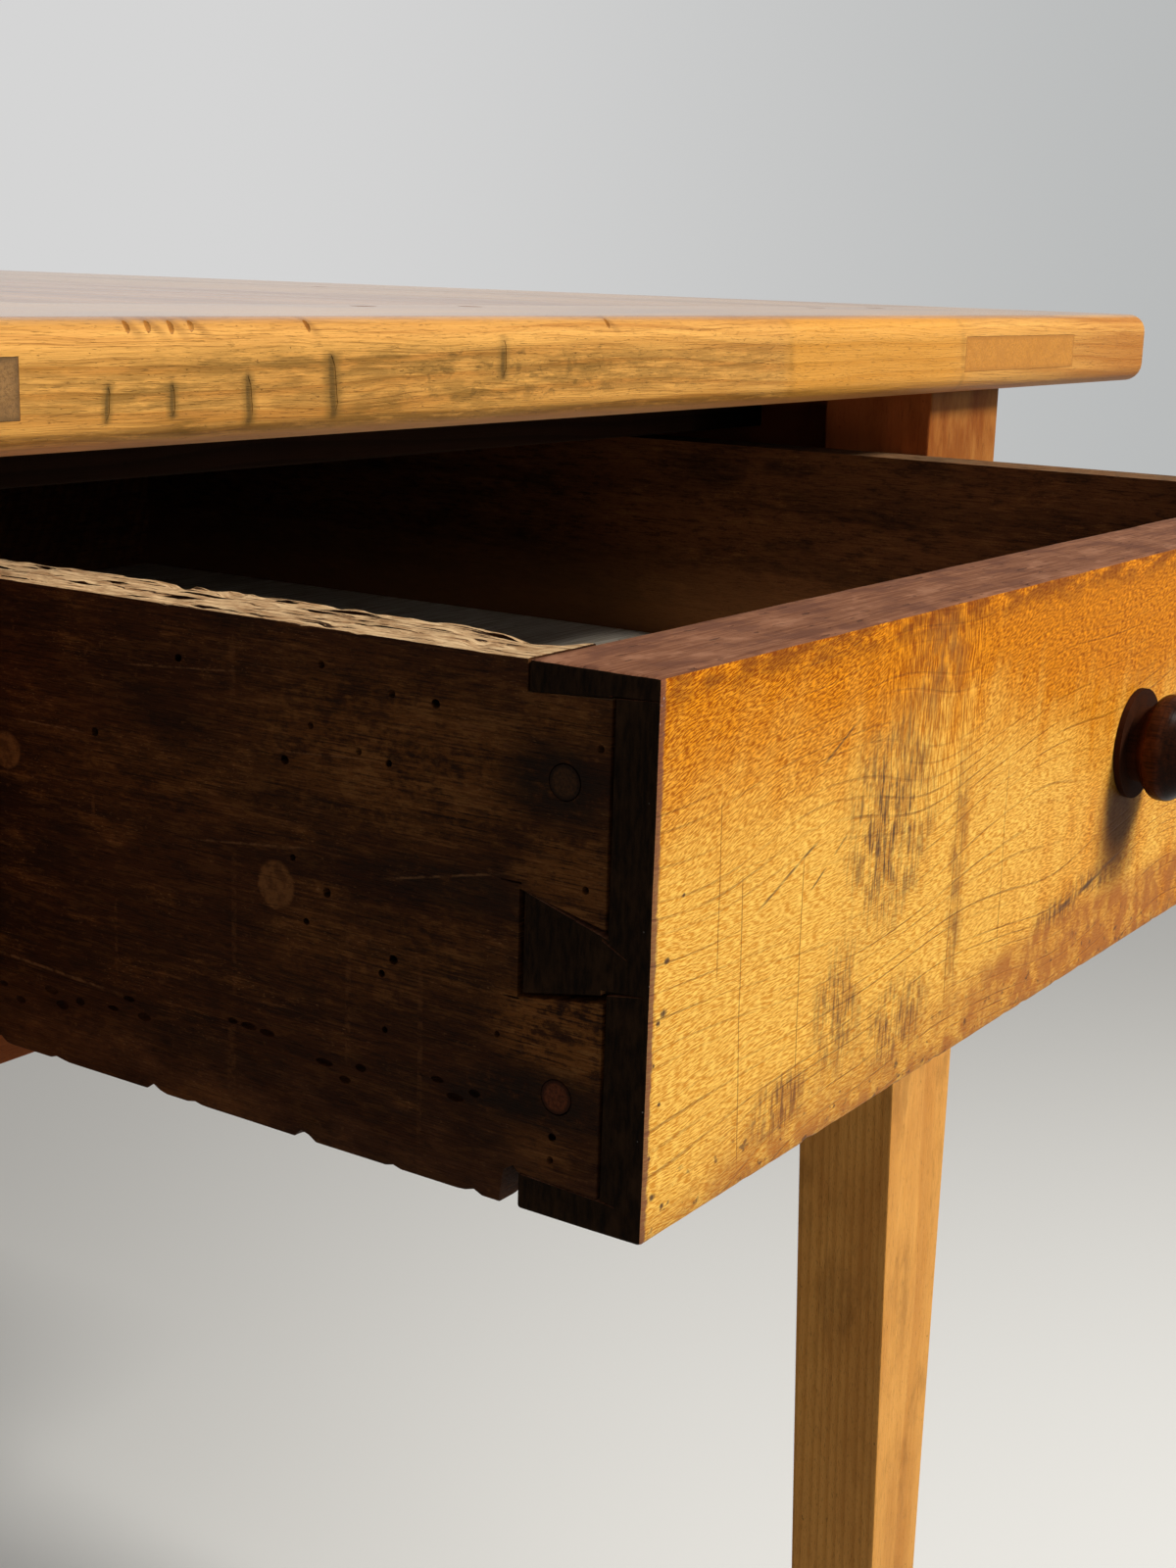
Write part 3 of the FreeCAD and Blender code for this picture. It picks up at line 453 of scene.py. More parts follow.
def drawerFrontFinish(flow, x, y, z):
    # golden figured wood: short slanting flecks, grain lines, upright strokes of dirt, dark edges
    look = frontLook
    u, deep, w = fromCorner(x, y, z)
    face = flow.facing(1).rise(-0.35, -0.85)
    sway = flow.grains(u / 45, w / 30, 3, 2)
    # flecks slant near the top, lie level lower down and stand upright in a swirl
    steep = flow.grains((u - w * 0.3) / 1.9, (w + u * 0.3 + sway * 6) / 0.31, deep / 3, 2, 0.55)
    level = flow.grains(u / 2.4, (w + u * 0.05 + sway * 5) / 0.29, deep / 3, 2, 0.55)
    upright = flow.grains((u + sway * 8) / 0.8, w / 4.5, deep / 3, 3, 0.6)
    swirl = spotMask(u, w, *look["swirl"])
    fleck = steep + w.rise(22, 62) * (level - steep)
    fleck = fleck + swirl * 0.8 * (upright - fleck)
    spark = fleck.rise(0.4, 0.6)
    # slow shimmer of the curled grain, and broad clouds
    wide = flow.grains(u / 60, w / 34, deep / 40, 3, 0.5)
    curl = flow.grains((u + w * 0.12 + sway * 6) / 6.5, w / 34, deep / 40, 2, 0.5)
    cross = flow.grains(u / 26, (w + sway * 8) / 4.5, deep / 40, 3, 0.6)
    warm = w.rise(52, 0) * 0.95 + (wide - 0.5) * 0.7 + u.rise(95, 235) * 0.42
    warm = warm + (0.5 - curl) * (0.5 + u.rise(45, 85) * 0.45) + (0.5 - cross) * 0.45
    ground = warm.rise(0, 0.95).blend(look["gold"], look["orange"])
    light = warm.rise(0, 0.95).blend(look["bright"], look["amber"])
    flow.tone = spark.blend(ground, light)
    # long grain lines, finer ones between them
    count = (w + u * 0.045 + flow.grains(u / 75, w / 42, 3, 0) * 22) / 3.1
    breaks = flow.grains(u / 18, w / 5, 7, 2).rise(0.38, 0.58)
    each = flow.grains(u / 80, (count - count.part()) * 3.7, 0.5, 1).rise(0.36, 0.62)
    lines = abs(count.part() - 0.5).rise(0.14, 0.03) * (breaks * 0.6 + 0.4) * each
    fine = flow.grains(u / 55, (w + u * 0.05 + sway * 5) / 0.34, deep / 4, 3, 0.6).rise(0.58, 0.7)
    flow.lay(lines * 0.48 * w.rise(8, 46), look["umber"])
    flow.lay(fine * 0.3 * w.rise(8, 40), look["umber"])
    specks = flow.grains(u / 0.7, w / 0.6, 1.7, 2, 0.5).rise(0.7, 0.76) * wide.rise(0.4, 0.6)
    flow.lay(specks * 0.75, look["umber"])
    # dirt: soft smears, upright strokes in them, scratches and marks, and the knob's painted shadow
    strokes = flow.grains(u / 1.1, w / 9, 5, 2, 0.55).rise(0.48, 0.55)
    smear = flow.grains(u / 6, w / 8, 2, 4, 0.6).rise(0.36, 0.6)
    for middle, reach, strength in look["patches"]:
        patch = spotMask(u, w, middle, reach, 0.6)
        flow.lay(patch * smear * 0.6, look["smear"])
        flow.lay(patch * (smear * 0.7 + 0.3) * strokes * strength, look["stain"])
    # painted shadow of the knob on the front, with grime where hands touch
    grimeAndShade = spotMask(u, w, *look["knobShadowAndGrime"], 0.6)
    flow.lay(grimeAndShade * 0.9, 80, 40, 12)
    for place, start, end, lean in look["hairs"]:
        hair = abs(u - place - w * lean + sway * 1.2).rise(0.28, 0.1)
        hair = hair * w.rise(start, start + 4) * w.rise(end, end - 6)
        flow.lay(hair * 0.6, look["umber"])
    for start, end, width in look["marks"]:
        mark = strokeMask(u, w + sway * 3 - 1.5, start, end, width)
        flow.lay(mark * breaks * 0.8, look["stain"])
    for du, dw, size in look["dints"]:
        dint = spotMask(u + strokes * 0.3, w + smear * 0.3, (du, dw), (size, size * 0.8), 0.5)
        flow.lay(dint * 0.9, look["stain"])
    # a browner lower band with knocks, rubbed arrises, and painted highlights on the left arris
    bandUp = 84 + (sway - 0.5) * 8
    foot = (w - bandUp).rise(0, 7) * u.rise(105, 190) + w.rise(82, 100) * u.rise(8, 40) * 0.55
    foot = foot + w.rise(97, 104) * 0.4
    flow.lay(foot.least(1) * (0.38 + smear * 0.5), look["low"])
    knocks = flow.grains(u / 3.5, w / 3, 9, 3, 0.6).rise(0.6, 0.68) * w.rise(88, 100)
    flow.lay(knocks * 0.75, look["stain"])
    upper = w.rise(9, 0.5) * flow.grains(u / 9, w / 4, 2, 4).rise(0.36, 0.58)
    flow.lay(upper * 0.75, look["edge"])
    ragged = flow.grains(u / 1.2, w / 2.6, 4, 4, 0.65)
    side = (u - ragged * 2.4).rise(1, 0)
    flow.lay(side * 0.85, look["rubbed"])
    # painted highlights: pale glints along the rubbed left arris, most near the top
    lit = side * ragged.rise(0.6, 0.68) * w.rise(14, 2)
    flow.lay(lit * 0.8, 226, 206, 200)
    # the other faces: purple-brown on top, almost black at the ends
    long = flow.grains(u / 26, deep / 0.7, w / 0.7, 4, 0.65)
    topTone = long.rise(0.3, 0.7).blend(toned(146, 100, 74), toned(104, 64, 44))
    mottle = flow.grains(u / 16, deep / 9, 3, 4, 0.6)
    topTone = (mottle.rise(0.48, 0.62) * 0.6).tint(topTone, 92, 58, 46)
    topTone = (mottle.rise(0.46, 0.34) * 0.5).tint(topTone, 170, 122, 94)
    scrape = flow.grains(u / 12 + deep / 3, deep / 2.4 - u / 14, 0, 2, 0.5).rise(0.66, 0.71)
    topTone = (scrape * 0.6).tint(topTone, 64, 42, 36)
    endGrain = flow.grains(u / 0.6, deep / 1.1, w / 5, 4, 0.65)
    endTone = endGrain.rise(0.3, 0.72).blend(toned(16, 11, 7), toned(44, 30, 18))
    endCloud = flow.grains(u / 5, deep / 7, w / 11, 4, 0.6).rise(0.5, 0.68)
    endTone = (endCloud * 0.5).tint(endTone, 60, 41, 26)
    dust = flow.cells(u / 2.4, deep / 2.4, w / 2.4).rise(0.09, 0.06) * (deep + endGrain * 4).rise(4.6, 2.6)
    endTone = (dust * 0.8).tint(endTone, 170, 160, 150)
    backTone = long.rise(0.3, 0.7).blend(toned(84, 50, 30), toned(54, 31, 19))
    top = flow.facing(2).rise(0.45, 0.8)
    back = flow.facing(1).rise(0.45, 0.8)
    end = abs(flow.facing(0)).rise(0.55, 0.85)
    flow.lay(top, topTone)
    flow.lay(back, backTone)
    flow.lay(end, endTone)
    flow.lay(flow.facing(2).rise(-0.45, -0.8), 112, 66, 32)
    relief = face * (spark * 0.03 - lines * 0.12 - specks * 0.05)
    relief = relief - top * scrape * 0.25 + long * (1 - face) * 0.15
    rough = 0.42 - spark * face * 0.06 + (1 - face) * 0.2
    varnish(flow, rough, relief, 0.025)


wornSideLook = {"pale": toned(66, 36, 18), "mid": toned(53, 28, 14), "deep": toned(36, 18, 10),
                "dark": toned(14, 8, 6), "swayLong": 190, "sway": 14, "pith": (-40, -60), "ring": 6.5,
                "ringStrength": 0.55, "fibreLong": 22, "cloud": 0.7, "pore": 0.5}
sideLook = {**wornSideLook, "pale": toned(104, 62, 34), "mid": toned(84, 48, 26), "deep": toned(56, 31, 17)}
sideMarks = {
    # warm rubbed areas: middle, reach and strength
    "warm": (((58, 22), (34, 15), 0.8), ((18, 38), (11, 9), 0.85), ((20, 11), (11, 6), 0.6),
             ((18, 68), (14, 8.5), 1.8), ((66, 64), (22, 9), 0.45), ((22, 92), (7, 5), 0.6),
             ((48, 58), (12, 9), 0.45), ((120, 36), (36, 9), 0.35)),
    # dark smears, given likewise
    "black": (((21, 22), (11, 7), 0.85), ((22, 82), (14, 6), 0.7), ((44, 45), (18, 4), 0.6),
              ((36, 84), (10, 5), 0.6)),
    # clear-edged paler ovals: middle and reach
    "ovals": (((88.2, 53), (4.7, 4.9)), ((166.1, 37.3), (4.5, 4))),
    # old upright drips: place, upper end, lower end, half width
    "drips": ((100, 5, 20, 1.2), (100, 47, 80, 0.9), (101, 84, 102, 1.5), (141, 10, 18, 0.8),
              (140, 42, 51, 0.7), (134, 64, 84, 0.6), (52, 60, 100, 0.8), (70, 58, 90, 1)),
    # thin pale scratches: start, end and width
    "scratches": (((175, 83.5), (130, 85.6), 0.5), ((131, 14), (96, 11.3), 0.3),
                  ((114, 48), (78, 44), 0.35), ((167, 30), (140, 30), 0.3),
                  ((62, 47), (30, 40), 0.35), ((90, 26), (64, 24), 0.25)),
}


def drawerSideFinish(flow, x, y, z, worn):
    # dark worm-eaten sides, pale where the upper edge is splintered
    v = y - drawerFace
    w = drawerTop - z
    flow.tone, height = boardTone(flow, v, w, x, wornSideLook if worn else sideLook)
    black = flow.grains(v / 46, w / 17, x / 30, 5, 0.66)
    streak = flow.grains(v / 16, w / 0.42, x / 8, 4, 0.7)
    cloud = flow.grains(v / 22, w / 9, x / 20, 5, 0.66)
    dashes = flow.grains(v / 1.3, w / 0.32, x / 3, 2, 0.55)
    spots = flow.grains(v / 2.6, w / 2.2, x / 3, 5, 0.7)
    warmth = cloud.rise(0.52, 0.72) * 0.5
    if worn:
        for middle, reach, strength in sideMarks["warm"]:
            warmth = warmth.most(spotMask(v, w, middle, reach, 0.7) * strength)
        for middle, reach, strength in sideMarks["black"]:
            warmth = warmth * (1 - spotMask(v, w, middle, reach, 0.5) * strength)
    warmth = warmth * (cloud + spots + streak * 0.6).rise(1.08, 1.4)
    flow.lay(black.rise(0.5, 0.66) * 0.6 * (1 - warmth), 30, 18, 12)
    flow.lay(warmth * 0.85, toned(120, 74, 34) if worn else toned(112, 66, 34))
    scraped = flow.grains(v / 9, w / 2, x / 10, 5, 0.72)
    flow.lay(scraped.rise(0.53, 0.58) * (warmth * 0.5 + 0.12), 138, 92, 48)
    flow.lay(scraped.rise(0.45, 0.4) * 0.5, 26, 16, 11)
    bright = warmth * 0.5 + cloud.rise(0.4, 0.6) * 0.34
    flow.lay(streak.rise(0.54, 0.68) * bright, 128, 84, 48)
    flow.lay(streak.rise(0.46, 0.34) * 0.6, 18, 10, 7)
    flow.lay(dashes.rise(0.62, 0.7) * cloud.rise(0.44, 0.64) * 0.5, 148, 106, 68)
    flow.lay(w.rise(84, 100) * cloud.rise(0.36, 0.6) * 0.4, 96, 60, 38)
    flow.lay(spots.rise(0.6, 0.7) * 0.5, 22, 13, 9)
    flow.lay(spots.rise(0.4, 0.3) * 0.3, 120, 80, 48)
    if worn:
        for middle, reach, strength in sideMarks["black"]:
            smear = spotMask(v + spots * 4 - 2, w + spots * 3 - 1.5, middle, reach, 0.5)
            flow.lay(smear * strength * spots.rise(0.3, 0.55), 26, 19, 14)
        for middle, reach in sideMarks["ovals"]:
            oval = spotMask(v + spots * 1.6 - 0.8, w + spots * 1.6 - 0.8, middle, reach, 0.1)
            paler = spots.rise(0.4, 0.62).blend(toned(130, 86, 48), toned(92, 58, 32))
            flow.lay(oval * 0.75, paler)
        for place, upper, lower, half in sideMarks["drips"]:
            drip = abs(v - place + spots * 0.8).rise(half, half * 0.4)
            drip = drip * w.rise(upper, upper + 2) * w.rise(lower, lower - 5)
            flow.lay(drip * spots.rise(0.42, 0.6) * 0.42, 112, 72, 42)
        for begin, end, width in sideMarks["scratches"]:
            scratch = strokeMask(v, w + spots * 0.6 - 0.3, begin, end, width)
            flow.lay(scratch * spots.rise(0.35, 0.6) * 0.6, 132, 94, 62)
    else:
        # painted light bounced from the drawer bottom: the lower inner face made paler
        bounceAndBareWood = w.rise(38, 86) * flow.facing(0).rise(0.2, -0.6)
        flow.lay(bounceAndBareWood * 0.75, 164, 110, 66)
    upper = flow.facing(2).rise(0.35, 0.75) * w.rise(7, 4.5)
    split = flow.grains(v / 15, x / 1.2, w / 1.2, 4, 0.62)
    flake = flow.grains(v / 6, x / 2.4, w / 2, 4, 0.65)
    bounceAndBareWood = split.rise(0.3, 0.7).blend(toned(232, 200, 154), toned(176, 138, 98))
    bounceAndBareWood = (flake.rise(0.42, 0.62) * 0.6).tint(bounceAndBareWood, 146, 104, 66)
    bounceAndBareWood = (split.rise(0.57, 0.61) * 0.95).tint(bounceAndBareWood, 44, 28, 19)
    flow.lay(upper if worn else upper * 0.2, bounceAndBareWood)
    inside = abs(flow.facing(0)).rise(0.5, 0.9)
    rough = 0.6 + upper * 0.25 + black * 0.1
    relief = height * (1 + inside) + upper * split * 0.5 + streak * 0.08 - spots * 0.06
    varnish(flow, rough, relief, 0.05)


def bottomFinish(flow, x, y, z):
    # bare pale boards across the drawer, stained and dusty
    fibre = flow.grains(x / 40, y / 1.1, z / 1.1, 4, 0.62)
    cloud = flow.grains(x / 50, y / 45, z / 30, 5, 0.6)
    flow.tone = fibre.rise(0.36, 0.66).blend(toned(238, 230, 216), toned(186, 170, 146))
    flow.lay(cloud.rise(0.46, 0.7) * 0.4, 148, 124, 96)
    spots = flow.grains(x / 7, y / 7, z / 7, 3, 0.5).rise(0.68, 0.74)
    flow.lay(spots * 0.5, 96, 76, 60)
    varnish(flow, 0.75, fibre * 0.25 - spots * 0.2, 0.2)


def knobFinish(flow, x, y, z):
    # dark turned wood, polished by hands, paler on its worn rim
    turned = flow.grains(x / 22, y / 0.7, z / 22, 3, 0.6)
    fibre = flow.grains(x / 0.6, y / 12, z / 0.6, 4, 0.6)
    flow.tone = fibre.rise(0.3, 0.7).blend(toned(72, 37, 19), toned(40, 21, 12))
    flow.lay(turned.rise(0.5, 0.7) * 0.4, 20, 12, 8)
    rubbed = flow.grains(x / 9, y / 5, z / 9, 4, 0.6).rise(0.5, 0.68)
    flow.lay(rubbed * 0.4, 98, 52, 27)
    foot = (drawerFace - y).rise(7, 5)
    # painted dark reflection: faces turned to the front, off the foot, made near black
    darkReflection = flow.facing(1).rise(-0.25, -0.75) * (1 - foot)
    flow.lay(darkReflection * 0.9, 9, 5, 4)
    flow.lay(foot * 0.6, 40, 20, 11)
    varnish(flow, 0.22 + rubbed * 0.12 + foot * 0.5, turned * 0.06 + fibre * 0.03, 0.03)


def pegFinish(flow, x, y, z, pale, deep):
    # riven pegs with their end grain showing
    ends = flow.grains(x / 0.8, y / 0.8, z / 0.8, 3, 0.6)
    cloud = flow.grains(x / 6, y / 6, z / 6, 3, 0.6)
    flow.tone = ends.rise(0.3, 0.7).blend(pale, deep)
    flow.lay(cloud.rise(0.45, 0.65) * 0.5, deep)
    varnish(flow, 0.55 + cloud * 0.2, ends * 0.2, 0.2)


def drawerPegFinish(flow, x, y, z):
    # pegs gone as dark as the wood round them, the lower one redder, both black at the rim
    v = y - drawerFace
    w = drawerTop - z
    ends = flow.grains(x / 2, v / 0.6, w / 0.6, 4, 0.65)
    grain = ends.rise(0.3, 0.7)
    upper = grain.blend(toned(70, 46, 28), toned(42, 28, 18))
    lower = grain.blend(toned(104, 56, 34), toned(66, 36, 23))
    flow.tone = w.rise(48, 54).blend(upper, lower)
    for middle in drawer["pegs"]:
        near = ((v - middle[0]) ** 2 + (w - middle[1]) ** 2) ** 0.5
        rim = near.rise(2.3, 3) * near.rise(4.5, 3.5)
        flow.lay(rim * 0.75, 16, 10, 8)
    varnish(flow, 0.6, ends * 0.25, 0.05)


def nailFinish(flow, x, y, z):
    # hand-made iron, rusted
    rust = flow.grains(x / 1.6, y / 1.6, z / 1.6, 4, 0.6)
    flow.tone = rust.rise(0.4, 0.65).blend(toned(62, 58, 56), toned(96, 54, 30))
    varnish(flow, 0.55 + rust * 0.3, rust * 0.15, 0.5)


print("drawer finishes ready")

finishes = {
    "cleat_front": finished("cleatFrontWood", cleatFrontFinish),
    "cleat_back": finished("cleatBackWood", topFinish, "x", 311, honey),
    "top_plank_left": finished("plankLeftWood", topFinish, "y", 0, honey, "left"),
    "top_plank_middle": finished("plankMiddleWood", topFinish, "y", 727, darkHoney),
    "top_plank_right": finished("plankRightWood", topFinish, "y", 1553, honey, "right"),
    "drawer_front": finished("drawerFrontWood", drawerFrontFinish),
    "drawer_side_left": finished("drawerSideWornWood", drawerSideFinish, True),
    "drawer_side_right": finished("drawerSideWood", drawerSideFinish, False),
    "drawer_knob": finished("knobWood", knobFinish),
    "drawer_pegs": finished("drawerPegWood", drawerPegFinish),
}
legs = ("leg_front_left", "leg_front_right", "leg_back_left", "leg_back_right")
sideAprons = ("apron_left", "apron_right")
endBoards = ("apron_back", "drawer_rail")
bearers = ("bearer_front", "bearer_middle", "bearer_back")
runners = ("runner_left", "runner_right", "guide_left", "guide_right", "stop_left", "stop_right")
for count, node in enumerate(legs):
    finishes[node] = finished(f"legWood{count}", frameFinish, "z", legLook, 190 * count)
sharedFinishes = (
    (finishes["drawer_side_right"], ("drawer_back",)),
    (finished("apronSideWood", frameFinish, "y", apronLook, 40), sideAprons),
    (finished("apronEndWood", frameFinish, "x", apronLook, 610), endBoards),
    (finished("bearerWood", innerFinish, "x"), bearers),
    (finished("runnerWood", innerFinish, "y"), runners),
    (finished("drawerBottomWood", bottomFinish),
     ("drawer_bottom_front", "drawer_bottom_middle", "drawer_bottom_rear")),
    (finished("topPegWood", pegFinish, toned(150, 96, 46), toned(74, 42, 20)),
     ("cleat_pegs", "top_pegs", "joint_pegs")),
    (finished("nailIron", nailFinish), ("runner_nails", "bottom_nails")),
)
for finish, wearers in sharedFinishes:
    finishes.update({node: finish for node in wearers})
for node, finish in finishes.items():
    nodes[node].data.materials.clear()
    nodes[node].data.materials.append(finish)
print("finishes given to", len(finishes), "nodes")

cutPast = 1  # how far a cutter stands out of the face that it cuts, in millimetres
mergeGap = 0.005  # corners of a CAD mesh nearer than this are one, in millimetres
seamGap = 0.001  # a new seam nearer than this to a corner runs through it, in millimetres
crispFrom = 38  # edges that turn more than this are drawn crisp, in degrees


def inDrawer(u, v, w):
    # u right from the drawer's left face, v back from its front, w down from its top, in millimetres
    return Vector((drawerLeft + u, drawerFace + v, drawerTop - w)) * mm


def wornBoard(low, high, look, wear):
    # a board with softened arrises, its faces cut into even cells and each corner moved by its wear
    shape = bmesh.new()
    bmesh.ops.create_cube(shape, size=1)
    span = high - low
    bmesh.ops.scale(shape, vec=span, verts=shape.verts)
    bmesh.ops.translate(shape, vec=(low + high) / 2, verts=shape.verts)
    bmesh.ops.bevel(shape, geom=shape.edges[:], offset=look["arris"] * mm, offset_type="OFFSET", segments=2,
                    profile=0.5, affect="EDGES", material=-1)
    for axis, count in enumerate(look["cells"]):
        runs = [edge for edge in shape.edges
                if abs(edge.verts[0].co[axis] - edge.verts[1].co[axis]) > span[axis] / 2]
        bmesh.ops.subdivide_edges(shape, edges=runs, cuts=count - 1, use_grid_fill=True)
    for point in shape.verts:
        point.co += wear(point.co)
    return shape


def addPrism(shape, corners, reach):
    # a flat outline drawn out along a vector
    points = [shape.verts.new(corner) for corner in corners]
    face = shape.faces.new(points)
    drawn = bmesh.ops.extrude_face_region(shape, geom=[face])
    tips = [item for item in drawn["geom"] if isinstance(item, bmesh.types.BMVert)]
    bmesh.ops.translate(shape, vec=reach, verts=tips)


def addHole(shape, middle, axis, radius, depth, sides=24):
    # a drilled hole whose mouth is half way along its cutter
    turn = Vector(axis).to_track_quat("Z", "Y").to_matrix().to_4x4()
    bmesh.ops.create_cone(shape, cap_ends=True, segments=sides, radius1=radius, radius2=radius,
                          depth=depth * 2, matrix=Matrix.Translation(middle) @ turn)


def addHollow(shape, middle, radii):
    # a shallow dent with an oval mouth
    bmesh.ops.create_icosphere(shape, subdivisions=2, radius=1,
                               matrix=Matrix.Translation(middle) @ Matrix.Diagonal((*radii, 1)))


def objectOf(shape, name):
    # a worked shape as an object of the scene
    mesh = bpy.data.meshes.new(name)
    shape.to_mesh(mesh)
    shape.free()
    made = bpy.data.objects.new(name, mesh)
    bpy.context.scene.collection.objects.link(made)
    return made


def addSlit(shape, start, tip, halves, deep):
    # a thin cut into the drawer's left face, from a start to a tip as (v, w)
    (v, w), (tipV, tipW) = start, tip
    wide, narrow = halves
    corners = ((v, w - wide), (tipV, tipW - narrow), (tipV, tipW + narrow), (v, w + wide))
    addPrism(shape, [inDrawer(-cutPast, *corner) for corner in corners], Vector((deep, 0, 0)) * mm)


def pieceOf(shape, name, body, node):
    # a new piece that stands for a CAD node
    bmesh.ops.recalc_face_normals(shape, faces=shape.faces[:])
    piece = objectOf(shape, name)
    piece.data.materials.append(finishes[node])
    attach(piece, body)
    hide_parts(node)
    return piece


def carve(piece, shape):
    # take the cutter's shape away for good
    bmesh.ops.recalc_face_normals(shape, faces=shape.faces[:])
    tool = objectOf(shape, "cutter")
    cut = piece.modifiers.new("cut", "BOOLEAN")
    cut.operation = "DIFFERENCE"
    cut.solver = "EXACT"
    cut.object = tool
    seen = piece.evaluated_get(bpy.context.evaluated_depsgraph_get())
    carved = bpy.data.meshes.new_from_object(seen)
    print(piece.name, "carved to", len(carved.polygons), "faces")
    piece.modifiers.clear()
    before = piece.data
    piece.data = carved
    carved.name = before.name
    cutter = tool.data
    bpy.data.objects.remove(tool)
    for mesh in (before, cutter):
        bpy.data.meshes.remove(mesh)


def smoothed(piece):
    # soft shading, crisp along the sharper edges
    piece.data.shade_smooth()
    piece.data.set_sharp_from_angle(angle=math.radians(crispFrom))


def flattened(piece):
    # broad flat faces keep their own shading beside a rounded edge
    smoothed(piece)
    weigh = piece.modifiers.new("flatFaces", "WEIGHTED_NORMAL")
    weigh.mode = "FACE_AREA"
    weigh.weight = 80
    weigh.keep_sharp = True


def ripple(*spot):
    # smooth noise, mostly between -0.5 and 0.5
    return noise.noise(Vector(spot))


def pinWaste(past, gaps):
    # the outlines between a side's tails, each as (v, w) corners; the gaps widen the shoulders
    (headOne, footOne), (headTwo, footTwo) = drawer["tails"]
    low = drawer["high"] + past
    lap = drawer["lap"] - past
    outlines = []
    spaces = ((-past, -past), headOne), (footOne, headTwo), (footTwo, (low, low))
    for (upper, lower), gap in zip(spaces, gaps):
        back = drawer["front"] + gap
        outlines.append(((lap, upper[1]), (back, upper[0]), (back, lower[0]), (lap, lower[1])))
    return outlines


def boxCut(shape, low, high):
    # a block from one corner to the opposite one
    corners = ((low.x, low.y, low.z), (high.x, low.y, low.z), (high.x, high.y, low.z), (low.x, high.y, low.z))
    addPrism(shape, corners, Vector((0, 0, high.z - low.z)))


def seatBoxes():
    # the room that the drawer's back and bottom take up in its sides and front
    slack = Vector([drawer["slack"]] * 3) * mm
    seats = (("drawer_back", "drawer_back"), ("drawer_bottom_front", "drawer_bottom_rear"))
    return [(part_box(first)[0] - slack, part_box(last)[1] + slack) for first, last in seats]


wornSide = {
    "arris": 0.5, "cells": (22, 300, 40), "gaps": (0.2, 1, 0.3), "over": 6, "pegGap": 0.25,
    # worm holes in its face, as (v, w), and short rows of hollows where worms ran under the surface
    "holes": ((76.6, 7.3), (59.3, 10.6), (48.8, 11.2), (79.3, 19.6), (67.2, 22.8), (85.8, 27.4), (59.8, 24),
              (138.5, 29.4), (114.2, 10.7), (83.8, 46.6), (75, 52.1), (80.3, 59.1), (58.2, 62.4),
              (61.1, 65.7), (60.2, 76.9), (33.4, 71.7), (12.3, 14.2), (14.5, 40.3),
              (20.2, 88.8), (20.7, 93.4)),
    "hole": {"radius": (0.65, 1.05), "deep": 4, "lean": (0.5, 0.3), "sides": 10},
    "galleries": ((168.7, 92.5), (150, 90), (130.3, 87.2), (96.1, 85.9), (70.6, 87.6), (43.3, 85)),
    "hollow": {"steps": (-4.6, 0, 4.6), "stray": (0.7, 2), "back": 0.2, "deep": 1.6, "long": (1.4, 2.3),
               "tall": (0.6, 1.1)},
    # saw cuts that run past the shoulder: far end, as (v, w)
    "kerfs": ((32.1, 63.6), (33.3, 41.6)), "kerfFrom": 28.5, "kerfHalf": (0.2, 0.1), "kerfDeep": 2.2,
    # clefts between the splinters of the upper edge
    "cleft": {"count": 26, "start": 34, "step": 7.5, "aside": 3.2, "rows": 4, "rowGap": 5,
              "stray": (3, 0.6), "long": (8, 22), "wide": (0.6, 1.5), "skew": 0.8, "deep": 4.2,
              "cutterTall": 8},
    # the piece broken out below the lower dovetail, as (v, w), and its depth as a share of the side
    "notch": ((26, 106), (27.2, 98.5), (29, 96.6), (31.2, 98), (32.4, 106)), "notchShare": 0.6,
}


def sideWear(spot):
    # how far a point of the worn side has been lost, in millimetres
    u, v, w = fromCorner(*(value / mm for value in spot))
    inner = u / drawer["side"]
    split = max(0, ripple(v / 14, u / 1.3, 2) - 0.05)
    chip = max(0, ripple(v / 8, u / 3.4, 7) - 0.2)
    nick = max(0, ripple(v / 5, 0.2, 9) - 0.3) * 2.5 * max(0, 1 - u / 2.5)
    edge = max(0, inner - 0.75) / 0.25 * max(0, ripple(v / 6, 0.5, 3)) * 0.9
    gone = max(0, inner - 0.45) * max(0, 1 - abs(v - 40) / 14) * 3
    top = (0.1 + (1.4 * split + 2.2 * chip) * min(1, u / 3) + nick + edge + gone) * max(0, 1 - w / 8)
    low = max(0, ripple(v / 6, u / 9, 5) - 0.16) * 4.4 * max(0, 1 - (drawer["high"] - w) / 8)
    face = (0.12 + 0.12 * ripple(v / 24, w / 9, 1)) * max(0, 1 - u / 4)
    nearCorner = min(1, max(0, (v - drawer["front"]) / 6))
    return Vector((face, 0, (low - top) * nearCorner)) * mm


